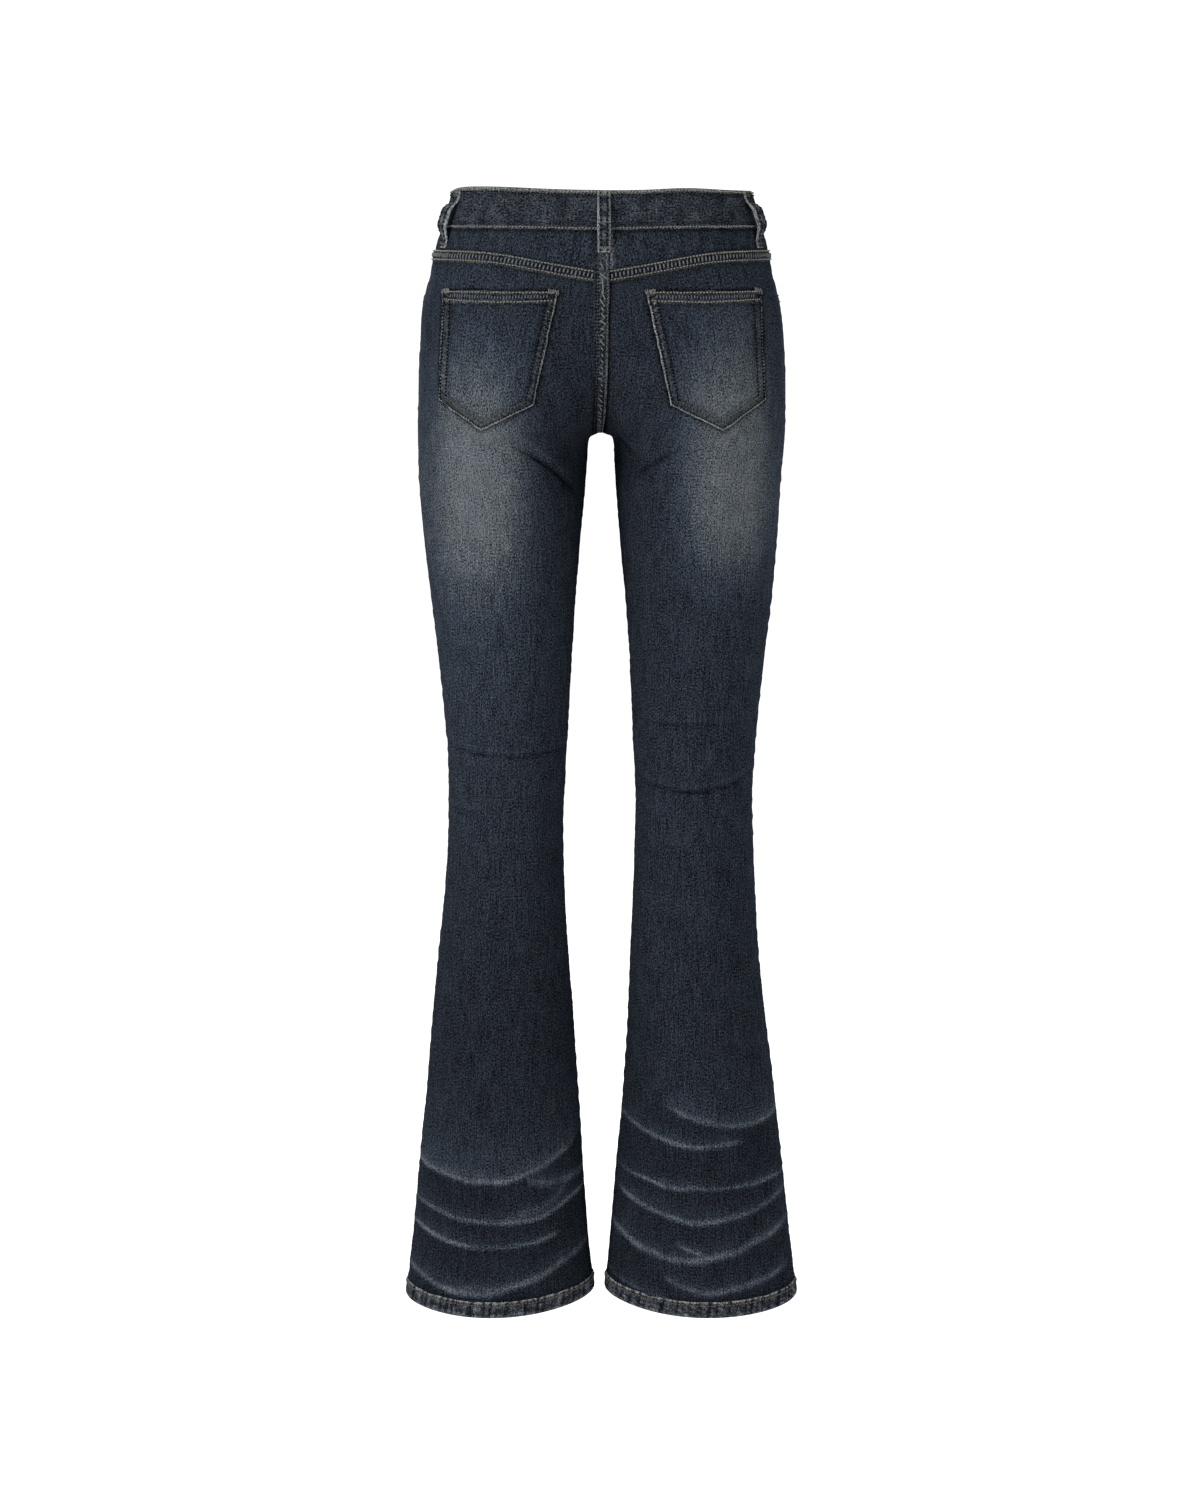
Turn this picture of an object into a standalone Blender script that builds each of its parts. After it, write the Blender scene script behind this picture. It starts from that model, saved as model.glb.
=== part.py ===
"""Bootcut jeans in their worn, hollow form: low waist, straight thigh, narrow knee, flared leg.

Metres, +Z up. The front faces -Y and the wearer's left leg is at +X. The origin is the centre of
the waist opening at mid-height of the waistband.

The cloth follows one surface for each leg. Its place round the leg is an angle: 0 is the centre
front and inseam, pi the outseam, 2 pi the centre back and inseam again. Its place down the leg is
a drop, measured at the outseam below the top edge of the waistband. Above the crotch the surface
is half of the hips, below it one leg, and a weight turns one into the other.
"""

from math import pi, radians

import bmesh
import bpy
import numpy as np

MM = 0.001
LEFT, RIGHT = 1, -1
SIDE_NAME = {LEFT: "left", RIGHT: "right"}

# Lengths of the garment
BAND_HEIGHT = 0.0335
TOP_EDGE = BAND_HEIGHT / 2
RISE = 0.2190
LENGTH = 1.040
HEM_HEIGHT = 0.0155
FRONT_DIP = 0.035
HEM_DIP = 0.0065
HEM_INSEAM_RISE = 0.0055

# Cloth
DENIM = 0.0014
BAND_CLOTH = 0.0030
HEM_CLOTH = 0.0034
POCKET_CLOTH = 0.0020
LAP = 0.0009
GAP = 0.0003
POCKET_GAP = 0.0005
BAND_STANDS = 0.0008
HEM_STANDS = 0.0006

# How the hips turn into two legs
BLEND_TOP, BLEND_END = 0.100, 0.320
ARCH = 0.0030
PARTING_SPREAD = 60
RISE_POWER = 4
SADDLE_SPREAD = 1.0
HIP_SQUARE = 0.06
BLEND_FULLNESS = 0.12

# Widths and depths of the figure, in millimetres, by drop below the waistband's top edge. The sides
# and the inner edges of the legs are distances from the centre line, the front, back and side seam
# are distances from the plane Y = 0.
FIGURE_COLUMNS = ("drop", "side_left", "side_right", "inner_left", "inner_right", "front", "back", "seam")
FIGURE_ROWS = (
    (0, 136, 136, 12, 11, 92, 97, 4),
    (18, 141, 141, 12, 11, 95, 101, 4),
    (36, 147, 147, 12, 11, 97, 104, 4),
    (55, 153, 152, 12, 11, 99, 108, 4),
    (75, 156.8, 156, 12, 11, 100, 112, 4),
    (100, 163.5, 162.5, 12, 11, 99, 117, 4),
    (140, 166.8, 167, 12, 11, 96, 122, 4),
    (180, 168.5, 168.5, 12, 11, 91, 121, 4),
    (220, 169.5, 168.5, 12.5, 11, 89, 113, 4),
    (260, 169, 165.5, 15, 12.5, 88, 103, 3),
    (310, 165.2, 162.5, 19.5, 16, 86, 93, 2),
    (370, 158.8, 158, 24.3, 21.5, 82, 83, 1),
    (430, 152.3, 151.5, 28.3, 25.7, 77, 75, 0),
    (480, 147.5, 146.3, 31, 28, 71, 68, 0),
    (520, 144.3, 143, 33.5, 30, 66, 63, 0),
    (560, 143.7, 141, 35.5, 32, 63, 61, 1),
    (600, 144.6, 142, 36.5, 31, 60, 63, 3),
    (650, 148, 144.2, 35.6, 29.4, 57, 67, 6),
    (700, 153.4, 147, 32.5, 27, 56, 70, 8),
    (760, 158.8, 153, 27.8, 24.9, 56, 72, 9),
    (830, 165, 162.2, 23.3, 20.7, 56, 73, 9),
    (900, 172.4, 170.2, 18.8, 14.7, 56.5, 73.5, 9),
    (970, 179.2, 177.8, 14.2, 8.9, 57, 74, 9),
    (1050, 188.5, 187.5, 6, 1.5, 57, 74, 9),
)
FIGURE = dict(zip(FIGURE_COLUMNS, np.array(FIGURE_ROWS).T * MM))
FIGURE_SLOPES = {name: np.gradient(FIGURE[name], FIGURE["drop"]) for name in FIGURE_COLUMNS}

# Creases: troughs that run round a leg, with a soft lip above. Angles in degrees, sizes in millimetres.
# leg, angle at the middle, drop at the ends, half span, sag at the middle, slant, half width, depth
CREASES = (
    (LEFT, 272, 505, 84, 8, 2, 7, 3.4),
    (LEFT, 222, 566, 34, 1, 0, 7, 1.6),
    (RIGHT, 270, 528, 84, 18, 3, 8, 3.8),
    (RIGHT, 285, 481, 44, 3, 0, 7, 2.0),
    (LEFT, 314, 241, 18, 0, 16, 7, 2.6),
    (RIGHT, 337, 227, 10, 0, -9, 6, 2.0),
    (RIGHT, 309, 240, 11, 0, 12, 6, 2.2),
    (LEFT, 95, 492, 62, 9, 4, 9, 2.8),
    (RIGHT, 88, 517, 66, 7, -3, 9, 3.0),
    (LEFT, 60, 548, 44, 5, 5, 8, 1.8),
    (RIGHT, 120, 561, 40, 4, -4, 8, 1.8),
    (LEFT, 52, 232, 34, 4, -16, 8, 2.6),
    (RIGHT, 50, 238, 36, 4, -15, 8, 2.6),
    (LEFT, 62, 206, 30, 3, -12, 7, 1.8),
    (RIGHT, 66, 203, 28, 3, -12, 7, 1.8),
)

# Flutes: soft ridges that run down the flare.
# leg, angle, half span, drop at the middle, half length, height
FLUTES = (
    (LEFT, 333, 16, 690, 120, 2.2),
    (LEFT, 250, 26, 900, 230, 2.0),
    (LEFT, 205, 20, 820, 180, 1.6),
    (LEFT, 118, 26, 860, 220, 2.6),
    (LEFT, 48, 24, 900, 230, 2.2),
    (RIGHT, 323, 16, 680, 120, 2.2),
    (RIGHT, 208, 18, 730, 150, 2.2),
    (RIGHT, 292, 26, 900, 230, 2.0),
    (RIGHT, 74, 26, 880, 220, 2.6),
    (RIGHT, 140, 24, 900, 200, 2.0),
)

# Seams. Drops in metres below the top edge, angles in radians round the leg.
YOKE_SIDE_DROP = 0.0535
YOKE_V_DEPTH = 0.018
YOKE_V_REACH = 0.150
YOKE_V_POWER = 1.35
FELL_HEIGHT = 0.0085
FELL_STEP = 0.0010
SEAT_EDGE = 0.0062
SEAT_EDGE_NARROWS = 0.65
STRIP_STEP = 0.012
YOKE_DROP = 0.050
COMMON_DROP = 0.100
MOUTH_START = radians(75)
MOUTH_DROP = 0.093
FACING_REACH = 0.022
FLY_SHIFT = 0.050

# Back pocket corners as seen from behind: distance out from the centre line and drop.
POCKET_TOP_INNER = (0.0387, 0.0886)
POCKET_TOP_OUTER = (0.1417, 0.0886)
POCKET_LOW_INNER = (0.0610, 0.1883)
POCKET_TIP = (0.1076, 0.2114)
POCKET_LOW_OUTER = (0.1456, 0.1850)

# Belt loops: leg, angle in degrees, length, stand-off, extra stand-off of the edge nearer the front
LOOPS = {
    "belt_loop_back": (RIGHT, 358.6, 0.0535, 0.0060, 0.0),
    "belt_loop_side_left": (LEFT, 230, 0.0500, 0.0068, 0.0018),
    "belt_loop_side_right": (RIGHT, 230, 0.0500, 0.0068, 0.0020),
    "belt_loop_front_left": (LEFT, 66, 0.0520, 0.0070, 0.0),
    "belt_loop_front_right": (RIGHT, 66, 0.0520, 0.0070, 0.0),
}
LOOP_WIDTH = 0.0121
LOOP_CLOTH = 0.0020
LOOP_TOP_DROP = 0.0012
LOOP_FOOT = 0.006
LOOP_BEND = 3.2
LOOP_LEAVES_BAND = (0.80, 0.90)

# Fly, zip and button, behind and on the centre front
BAND_OVERLAP = 0.040
BAND_END = 0.004
OVERLAP_GAP = 0.0010
BUTTON_ACROSS = 0.010
BUTTON_RADIUS = 0.0085
BUTTON_HEIGHT = 0.0030
BUTTON_RIM = 0.0008
SHANK_RADIUS = 0.0028
BUTTONHOLE_LENGTH = 0.0160
BUTTONHOLE_WIDTH = 0.0070
CUTTER_DEPTH = 0.0120
CUTTER_BEVEL = 0.0005
FLY_TOP_DROP = FRONT_DIP + BAND_HEIGHT
FLY_BOTTOM_DROP = 0.150
SHIELD_ACROSS = (-0.012, 0.036)
SHIELD_DEPTH = 0.0068
SHIELD_CLOTH = 0.0024
ZIP_ACROSS = 0.011
ZIP_TOP_DROP = FLY_TOP_DROP + 0.016
ZIP_BOTTOM_DROP = FLY_BOTTOM_DROP - 0.012
TAPE_HALF_WIDTH = 0.0130
TAPE_DEPTH = 0.0034
TAPE_CLOTH = 0.0010
CHAIN_HALF_WIDTH = 0.0025
CHAIN_EDGE = 0.0007
CHAIN_STANDS = 0.0014
SLIDER_SIZE = (0.0086, 0.0036, 0.0092)
SLIDER_BEVEL = 0.0008
SLIDER_BELOW_TOP = 0.0055
SLIDER_CLEARANCE = 0.0006

DENIM_COLOUR = (0.026, 0.038, 0.060)
DENIM_INSIDE_COLOUR = (0.15, 0.19, 0.25)
BRASS_COLOUR = (0.42, 0.29, 0.13)
TAPE_COLOUR = (0.020, 0.024, 0.034)


def figure(column, drop):
    """A column of the figure's table at any drop: a cubic between two rows, sloped by their neighbours."""
    drops, values, slopes = FIGURE["drop"], FIGURE[column], FIGURE_SLOPES[column]
    row = np.clip(np.searchsorted(drops, drop) - 1, 0, len(drops) - 2)
    step = drops[row + 1] - drops[row]
    part = np.clip((drop - drops[row]) / step, 0, 1)
    rest = 1 - part
    here = values[row] * (1 + 2 * part) * rest**2 + slopes[row] * step * part * rest**2
    there = values[row + 1] * part**2 * (3 - 2 * part) - slopes[row + 1] * step * part**2 * rest
    return here + there


def ease(start, end, value):
    """0 up to start, 1 past end, and a smooth S between them."""
    part = np.clip((value - start) / (end - start), 0, 1)
    return part * part * (3 - 2 * part)


def fold_height(side, angle, drop):
    """How far the creases and flutes move the cloth outwards."""
    turn = np.degrees(angle)
    height = np.zeros(np.broadcast(angle, drop).shape)
    for leg, middle, line, half_span, sag, slant, half_width, depth in CREASES:
        if leg != side:
            continue
        along = ((turn - middle + 180) % 360 - 180) / half_span
        across = (drop / MM - line - sag * (1 - along**2) - slant * along) / half_width
        window = np.clip(1 - along**2, 0, 1) ** 2
        profile = np.exp(-(across**2)) - 0.4 * np.exp(-((across + 1.8) ** 2))
        height -= depth * MM * window * profile
    for leg, middle, half_span, line, half_length, ridge in FLUTES:
        if leg != side:
            continue
        across = ((turn - middle + 180) % 360 - 180) / half_span
        along = (drop / MM - line) / half_length
        window = np.clip(1 - along**2, 0, 1) ** 2
        height += ridge * MM * window * np.exp(-(across**2))
    return height


def real_root(real, imaginary):
    """The real part of a complex number's square root."""
    return np.sqrt((real + np.hypot(real, imaginary)) / 2)


def half_garment(side, angle, drop):
    """Points of one leg and its half of the hips, for angles 0 to 2 pi."""
    front = angle < pi
    name = SIDE_NAME[side]

    # The waist dips at the front and the hem at the back.
    fall = np.clip(drop / RISE, 0, 1)
    middle = (1 + np.cos(angle)) / 2
    waist_dip = np.where(front, FRONT_DIP, 0.0) * middle * (1 - fall) ** 2
    hem_part = np.clip((drop - RISE) / (LENGTH - RISE), 0, 1) ** 3
    hem_dip = np.where(front, -HEM_DIP, HEM_DIP) * np.sin(angle) ** 2 - HEM_INSEAM_RISE * middle**2
    level = drop + waist_dip + hem_dip * hem_part

    out = figure("side_" + name, level)
    seam = figure("seam", level)
    depth = np.where(front, figure("front", level) + seam, figure("back", level) - seam)

    # On the centre line the half row ends on the rise curve, and below the crotch the legs part at
    # once. Away from the line both changes spread out: a saddle, as in the real part of a square root.
    from_line = np.abs(np.sin(angle / 2))
    below = (drop - RISE) / ARCH
    parted = (below + np.hypot(below, PARTING_SPREAD * from_line**2)) / 2
    inner = figure("inner_" + name, level) * np.sqrt(1 - np.exp(-parted))
    half = (out - inner) / 2
    left_of_rise = 1 - np.clip(drop / RISE, 0, 1.5) ** RISE_POWER
    to_line = real_root(left_of_rise, SADDLE_SPREAD * from_line)
    to_line = to_line / real_root(1.0, SADDLE_SPREAD * from_line)
    near = middle**3
    blend = ease(BLEND_TOP, BLEND_END, drop)
    weight = blend * (1 - near) + (1 - to_line) * near
    square = 1 + HIP_SQUARE * np.sin(angle) ** 2
    hip_x = out * np.sin(angle / 2) * square
    hip_y = -np.cos(angle / 2) * depth * square
    leg_x = inner + half * (1 - np.cos(angle))
    leg_y = -np.sin(angle) * depth
    fullness = 1 + BLEND_FULLNESS * 4 * weight * (1 - weight)
    x = (1 - weight) * hip_x + weight * leg_x
    y = ((1 - weight) * hip_y + weight * leg_y) * fullness

    from_axis = x - (out + inner) / 2
    reach = np.maximum(np.hypot(from_axis, y), 0.001)
    fold = fold_height(side, angle, drop)
    x = x + fold * from_axis / reach
    y = y + fold * y / reach
    return np.stack([side * x, seam + y, TOP_EDGE - level], -1)


def surface(side, angle, drop):
    """Points of the cloth's outer face. Past the centre line a row goes on over the other half
    above the crotch, and round the same leg below it."""
    angle, drop = np.broadcast_arrays(np.asarray(angle, float), np.asarray(drop, float))
    upper = drop < RISE
    mirrored = np.where(angle > 2 * pi, 4 * pi - angle, np.abs(angle))
    past = upper & ((angle > 2 * pi) | (angle < 0))
    own = half_garment(side, np.where(upper, mirrored, np.mod(angle, 2 * pi)), drop)
    other = half_garment(-side, mirrored, drop)
    return np.where(past[..., None], other, own)


def normals(side, angle, drop):
    """Unit vectors out of the cloth, from differences of the surface."""
    turn, fall = 0.01, 0.001
    across = surface(side, angle + turn, drop) - surface(side, angle - turn, drop)
    down = surface(side, angle, drop + fall) - surface(side, angle, drop - fall)
    out = np.cross(down, across) * side
    return out / np.linalg.norm(out, axis=-1, keepdims=True)


def drop_at_level(side, angle, level):
    """The drop along the outseam whose row passes this level at this angle, by halving."""
    angle, level = np.broadcast_arrays(np.asarray(angle, float), np.asarray(level, float))
    low, high = np.zeros(angle.shape), np.full(angle.shape, RISE)
    for _ in range(30):
        middle = (low + high) / 2
        above = TOP_EDGE - surface(side, angle, middle)[..., 2] < level
        low = np.where(above, middle, low)
        high = np.where(above, high, middle)
    return (low + high) / 2


def back_spot(side, out, level):
    """Angle and drop of the point on the back that lies `out` from the centre line at this level,
    by Newton steps from its place on a plain ellipse."""
    width = figure("side_" + SIDE_NAME[side], level)
    angle = 2 * pi - 2 * np.arcsin(np.clip(out / width, 0, 0.97))
    drop = np.array(level, float)
    nudge = 1e-5
    for _ in range(12):
        here = surface(side, angle, drop)
        by_angle = (surface(side, angle + nudge, drop) - here) / nudge
        by_drop = (surface(side, angle, drop + nudge) - here) / nudge
        miss_x = side * out - here[..., 0]
        miss_z = TOP_EDGE - level - here[..., 2]
        scale = by_angle[..., 0] * by_drop[..., 2] - by_drop[..., 0] * by_angle[..., 2]
        angle = angle + (miss_x * by_drop[..., 2] - by_drop[..., 0] * miss_z) / scale
        drop = drop + (by_angle[..., 0] * miss_z - miss_x * by_angle[..., 2]) / scale
    return angle, drop


def waist_line(side, angle):
    """Drop of the waistband's lower edge."""
    top = TOP_EDGE - surface(side, angle, 0.0)[..., 2]
    return drop_at_level(side, angle, top + BAND_HEIGHT)


def yoke_level(out):
    """Level of the yoke seam, a shallow V, at a distance out from the centre line."""
    toward_centre = np.clip(1 - np.abs(out) / YOKE_V_REACH, 0, 1)
    return YOKE_SIDE_DROP + YOKE_V_DEPTH * toward_centre**YOKE_V_POWER


def yoke_line(side, angle, below=0.0):
    """Drop of the yoke seam, or of a line this far below it."""
    drop = np.full(np.shape(angle), YOKE_SIDE_DROP)
    for _ in range(4):
        drop = drop_at_level(side, angle, yoke_level(surface(side, angle, drop)[..., 0]) + below)
    return drop


def mouth_line(side, angle):
    """Drop of the front panel's top edge: the waistband, then the curved pocket mouth."""
    part = np.clip((angle - MOUTH_START) / (pi - MOUTH_START), 0, 1)
    band = waist_line(side, angle)
    return band + (MOUTH_DROP - band) * np.sqrt(1 - (1 - part) ** 2)


def seat_taper(drop):
    """0 above the pockets, 1 at the crotch."""
    return np.clip((drop - COMMON_DROP) / (RISE - COMMON_DROP), 0, 1)


def seat_angle(side, drop, out):
    """Angle between the centre back and the point this far out from it, by halving."""
    low, high = 0.0, 0.8
    for _ in range(24):
        middle = (low + high) / 2
        if abs(half_garment(side, 2 * pi - middle, drop)[0]) < out:
            low = middle
        else:
            high = middle
    return (low + high) / 2


def back_angles(side, drop):
    """Angles of the back panel's columns at a drop. The left panel laps over the right one along
    the seat seam, with a raised strip, so it reaches past the centre line down to the crotch."""
    fall = min(drop / RISE, 1)
    past = SEAT_EDGE * (1 - SEAT_EDGE_NARROWS * fall**4) * np.sqrt(1 - fall**16)
    shift = seat_angle(RIGHT, drop, past) if past > 0 else 0
    if side == RIGHT:
        return pi + np.linspace(0, 1, 12) * (pi - shift)
    strip = 2 * pi - seat_angle(LEFT, min(drop, RISE), SEAT_EDGE)
    plain = pi + np.linspace(0, 1, 12) * (strip - pi)
    return np.append(plain, [strip + STRIP_STEP, 2 * pi + shift])


def front_angles(side, drop):
    """Angles of the front panel's columns at a drop, closer together where the pocket mouth starts."""
    start = -side * FLY_SHIFT * (1 - seat_taper(drop) ** 3)
    inside = np.linspace(start, MOUTH_START, 5)[:-1]
    along = np.linspace(0, 1, 10) ** 1.5
    mouth = np.append(inside, MOUTH_START + (pi - MOUTH_START) * along)
    even = np.linspace(start, pi, len(mouth))
    return mouth + (even - mouth) * ease(COMMON_DROP, RISE, drop)


def common_drops():
    """Drops of the rows that all four leg panels share, closer together at the crotch and the knee."""
    to_crotch = RISE - (RISE - COMMON_DROP) * (1 - np.linspace(0, 1, 9)) ** 2
    past_crotch = RISE + np.array([0.001, 0.003, 0.008, 0.018, 0.035, 0.060])
    thigh = np.linspace(0.315, 0.470, 5)
    knee = np.linspace(0.480, 0.575, 11)
    flare = np.linspace(0.610, LENGTH - HEM_HEIGHT, 9)
    return np.concatenate([to_crotch, past_crotch, thigh, knee, flare])


def unit(vectors):
    return vectors / np.linalg.norm(vectors, axis=-1, keepdims=True)


def keep_clear(points, ring=False):
    """Draws a grid's edges in by half a gap, so that neighbours don't touch."""
    points = points.copy()
    points[0] += unit(points[1] - points[0]) * GAP / 2
    points[-1] += unit(points[-2] - points[-1]) * GAP / 2
    if not ring:
        points[:, 0] += unit(points[:, 1] - points[:, 0]) * GAP / 2
        points[:, -1] += unit(points[:, -2] - points[:, -1]) * GAP / 2
    return points


def material(name, colour, roughness, metallic=0.0):
    made = bpy.data.materials.new(name)
    made.use_nodes = True
    shader = made.node_tree.nodes["Principled BSDF"]
    shader.inputs["Base Color"].default_value = (*colour, 1)
    shader.inputs["Roughness"].default_value = roughness
    shader.inputs["Metallic"].default_value = metallic
    made.diffuse_color = (*colour, 1)
    return made


def add_object(name, mesh, finish, parent):
    made = bpy.data.objects.new(name, mesh)
    mesh.materials.append(material(name + "_finish", *finish))
    mesh.shade_smooth()
    mesh.set_sharp_from_angle(angle=radians(50))
    bpy.context.scene.collection.objects.link(made)
    made.parent = parent
    return made


def add_wall(name, outer, inner, finish, parent, ring=False):
    """A closed wall between an outer and an inner grid of points. A ring closes on itself sideways."""
    rows, columns = outer.shape[:2]
    number = np.arange(rows * columns).reshape(rows, columns)
    if ring:
        number = np.hstack([number, number[:, :1]])
    under = number + rows * columns
    skin = np.stack([number[:-1, :-1], number[1:, :-1], number[1:, 1:], number[:-1, 1:]], -1)
    back = np.stack([under[:-1, :-1], under[:-1, 1:], under[1:, 1:], under[1:, :-1]], -1)
    faces = [skin.reshape(-1, 4), back.reshape(-1, 4)]
    for edge, under_edge in ((number[0], under[0]), (number[-1][::-1], under[-1][::-1])):
        faces.append(np.stack([edge[:-1], edge[1:], under_edge[1:], under_edge[:-1]], -1))
    if not ring:
        for edge, under_edge in ((number[::-1, 0], under[::-1, 0]), (number[:, -1], under[:, -1])):
            faces.append(np.stack([edge[:-1], edge[1:], under_edge[1:], under_edge[:-1]], -1))
    mesh = bpy.data.meshes.new(name)
    points = np.concatenate([outer.reshape(-1, 3), inner.reshape(-1, 3)])
    mesh.from_pydata(points.tolist(), [], np.concatenate(faces).tolist())
    shape = bmesh.new()
    shape.from_mesh(mesh)
    bmesh.ops.recalc_face_normals(shape, faces=shape.faces)
    shape.to_mesh(mesh)
    shape.free()
    return add_object(name, mesh, finish, parent)


def cloth_wall(name, side, angle, drop, finish, parent, cloth=DENIM, lift=0.0, depth=0.0, ring=False):
    """A wall of cloth on the surface: its outer face stands `lift` out of it or lies `depth` inside."""
    outer = surface(side, angle, drop)
    out = normals(side, angle, drop)
    lift = np.broadcast_to(np.asarray(lift, float), drop.shape)[..., None]
    face = keep_clear(outer + out * (lift - depth), ring)
    reverse = keep_clear(outer - out * (depth + cloth), ring)
    return add_wall(name, face, reverse, finish, parent, ring)


def leg_rows(angles_of, side, top_rows):
    """Angles and drops of a leg panel: its top rows, then the rows that all leg panels share."""
    top_angle = angles_of(side, YOKE_DROP)
    rows = [(top_angle, row) for row in top_rows(side, top_angle)]
    for drop in common_drops():
        angle = angles_of(side, drop)
        rows.append((angle, np.full(angle.shape, drop)))
    return np.array([row[0] for row in rows]), np.array([row[1] for row in rows])


def back_top_rows(side, angle):
    """The lapped band under the yoke, its step down, and one row to the common rows."""
    edge = yoke_line(side, angle)
    foot = yoke_line(side, angle, FELL_HEIGHT)
    step = yoke_line(side, angle, FELL_HEIGHT + FELL_STEP)
    return [edge, foot, step, (step + COMMON_DROP) / 2]


def front_top_rows(side, angle):
    top = mouth_line(side, angle)
    return [top + (COMMON_DROP - top) * part for part in (0, 1 / 3, 2 / 3)]


def make_back(side, finish, parent):
    angle, drop = leg_rows(back_angles, side, back_top_rows)
    lift = np.zeros(drop.shape)
    lift[:2] = LAP
    if side == LEFT:
        lift[:, -2:] = LAP * (drop[:, -2:] < RISE - 0.002)
    return cloth_wall("back_" + SIDE_NAME[side], side, angle, drop, finish, parent, lift=lift)


def make_front(side, finish, parent):
    angle, drop = leg_rows(front_angles, side, front_top_rows)
    return cloth_wall("front_" + SIDE_NAME[side], side, angle, drop, finish, parent)


def make_yoke(side, finish, parent):
    angle = np.tile(back_angles(side, YOKE_DROP), (4, 1))
    top = waist_line(side, angle[0])
    low = yoke_line(side, angle[0])
    drop = top + (low - top) * np.linspace(0, 1, 4)[:, None]
    return cloth_wall("yoke_" + SIDE_NAME[side], side, angle, drop, finish, parent)


def make_hem(side, finish, parent):
    """The turned-up hem, a ring that is thicker than the leg's cloth and stands a little proud."""
    drop_top = LENGTH - HEM_HEIGHT
    angle = np.concatenate([front_angles(side, drop_top)[:-1], back_angles(side, drop_top)[:-1]])
    angle = np.tile(angle, (3, 1))
    drop = np.broadcast_to(np.linspace(drop_top, LENGTH, 3)[:, None], angle.shape)
    name = "hem_" + SIDE_NAME[side]
    return cloth_wall(name, side, angle, drop, finish, parent, HEM_CLOTH, HEM_STANDS, ring=True)


def make_pocket(side, finish, parent):
    """A five-sided patch on the back panel, from its corners as seen from behind."""
    across = np.linspace(0, 1, 13)
    top = np.array(POCKET_TOP_INNER) + across[:, None] * np.subtract(POCKET_TOP_OUTER, POCKET_TOP_INNER)
    low_corners = np.array([POCKET_LOW_INNER, POCKET_TIP, POCKET_LOW_OUTER])
    low = np.stack([np.interp(across, (0, 0.5, 1), low_corners[:, axis]) for axis in (0, 1)], -1)
    spots = top + (low - top) * np.linspace(0, 1, 10)[:, None, None]
    angle, drop = back_spot(side, spots[..., 0], spots[..., 1])
    name = "back_pocket_" + SIDE_NAME[side]
    proud = POCKET_GAP + POCKET_CLOTH
    return cloth_wall(name, side, angle, drop, finish, parent, POCKET_CLOTH, depth=-proud)


def make_facing(side, finish, parent):
    """The cloth seen in the pocket mouth, just inside the front panel."""
    angle = np.tile(front_angles(side, COMMON_DROP)[3:], (6, 1))
    top = waist_line(side, angle[0])
    low = MOUTH_DROP + FACING_REACH
    drop = top + (low - top) * np.linspace(0, 1, 6)[:, None]
    name = "pocket_facing_" + SIDE_NAME[side]
    return cloth_wall(name, side, angle, drop, finish, parent, depth=DENIM + 2 * GAP)


def make_waistband(finish, parent):
    """One strip: from just past the centre front round the left side, the back and the right side,
    and on under its own start."""
    left = np.concatenate([front_angles(LEFT, YOKE_DROP), back_angles(LEFT, YOKE_DROP)[1:-1]])
    left[0] = -2 * np.arcsin(BAND_END / FIGURE["side_left"][0])
    right = np.append(back_angles(RIGHT, YOKE_DROP)[::-1], front_angles(RIGHT, YOKE_DROP)[::-1][1:-1])
    under_end = -2 * np.arcsin(BAND_OVERLAP / FIGURE["side_right"][0])
    under = np.linspace(0.12, under_end, 5)
    sections = [(LEFT, angle) for angle in left] + [(RIGHT, angle) for angle in np.append(right, under)]
    face, reverse = [], []
    for side, angle in sections:
        low = waist_line(side, angle)
        drop = np.linspace(0, 1, 3) * low
        tuck = 0.0
        if side == RIGHT:
            tuck = (BAND_CLOTH + OVERLAP_GAP) * (1 - ease(0.10, 0.75, angle))
        outer = surface(side, angle, drop)
        out = normals(side, angle, drop)
        face.append(outer + out * (BAND_STANDS - tuck))
        reverse.append(outer + out * (BAND_STANDS - tuck - BAND_CLOTH))
    face = keep_clear(np.stack(face, 1))
    reverse = keep_clear(np.stack(reverse, 1))
    return add_wall("waistband", face, reverse, finish, parent)


def make_loop(name, side, angle_degrees, length, stand_off, edge_more, finish, parent):
    """A belt loop: tacked at the band's top edge and on the cloth below it, and bowed between."""
    angle = radians(angle_degrees)
    run = np.linspace(0, 1, 13)
    top = TOP_EDGE - surface(side, angle, 0.0)[2]
    levels = top + LOOP_TOP_DROP + run * length
    drops = drop_at_level(side, np.full(run.shape, angle), levels)
    rim = surface(side, np.full(run.shape, angle), drops)
    out = normals(side, np.full(run.shape, angle), drops)
    sideways = unit(np.cross(out, np.gradient(rim, axis=0)))
    foot = LOOP_FOOT / length
    rests_on = BAND_STANDS * (1 - ease(*LOOP_LEAVES_BAND, run))
    bend = LOOP_BEND * foot
    bow = ease(foot, bend, run) * (1 - ease(1 - bend, 1 - foot, run))
    face, reverse = [], []
    for part in np.linspace(-0.5, 0.5, 3):
        toward_front = part * (1 if side == RIGHT else -1)
        height = GAP + rests_on + bow * (stand_off + edge_more * 2 * toward_front)
        spread = sideways * (part * LOOP_WIDTH)
        face.append(rim + spread + out * (height + LOOP_CLOTH)[:, None])
        reverse.append(rim + spread + out * height[:, None])
    return add_wall(name, np.stack(face, 1), np.stack(reverse, 1), finish, parent)


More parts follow.
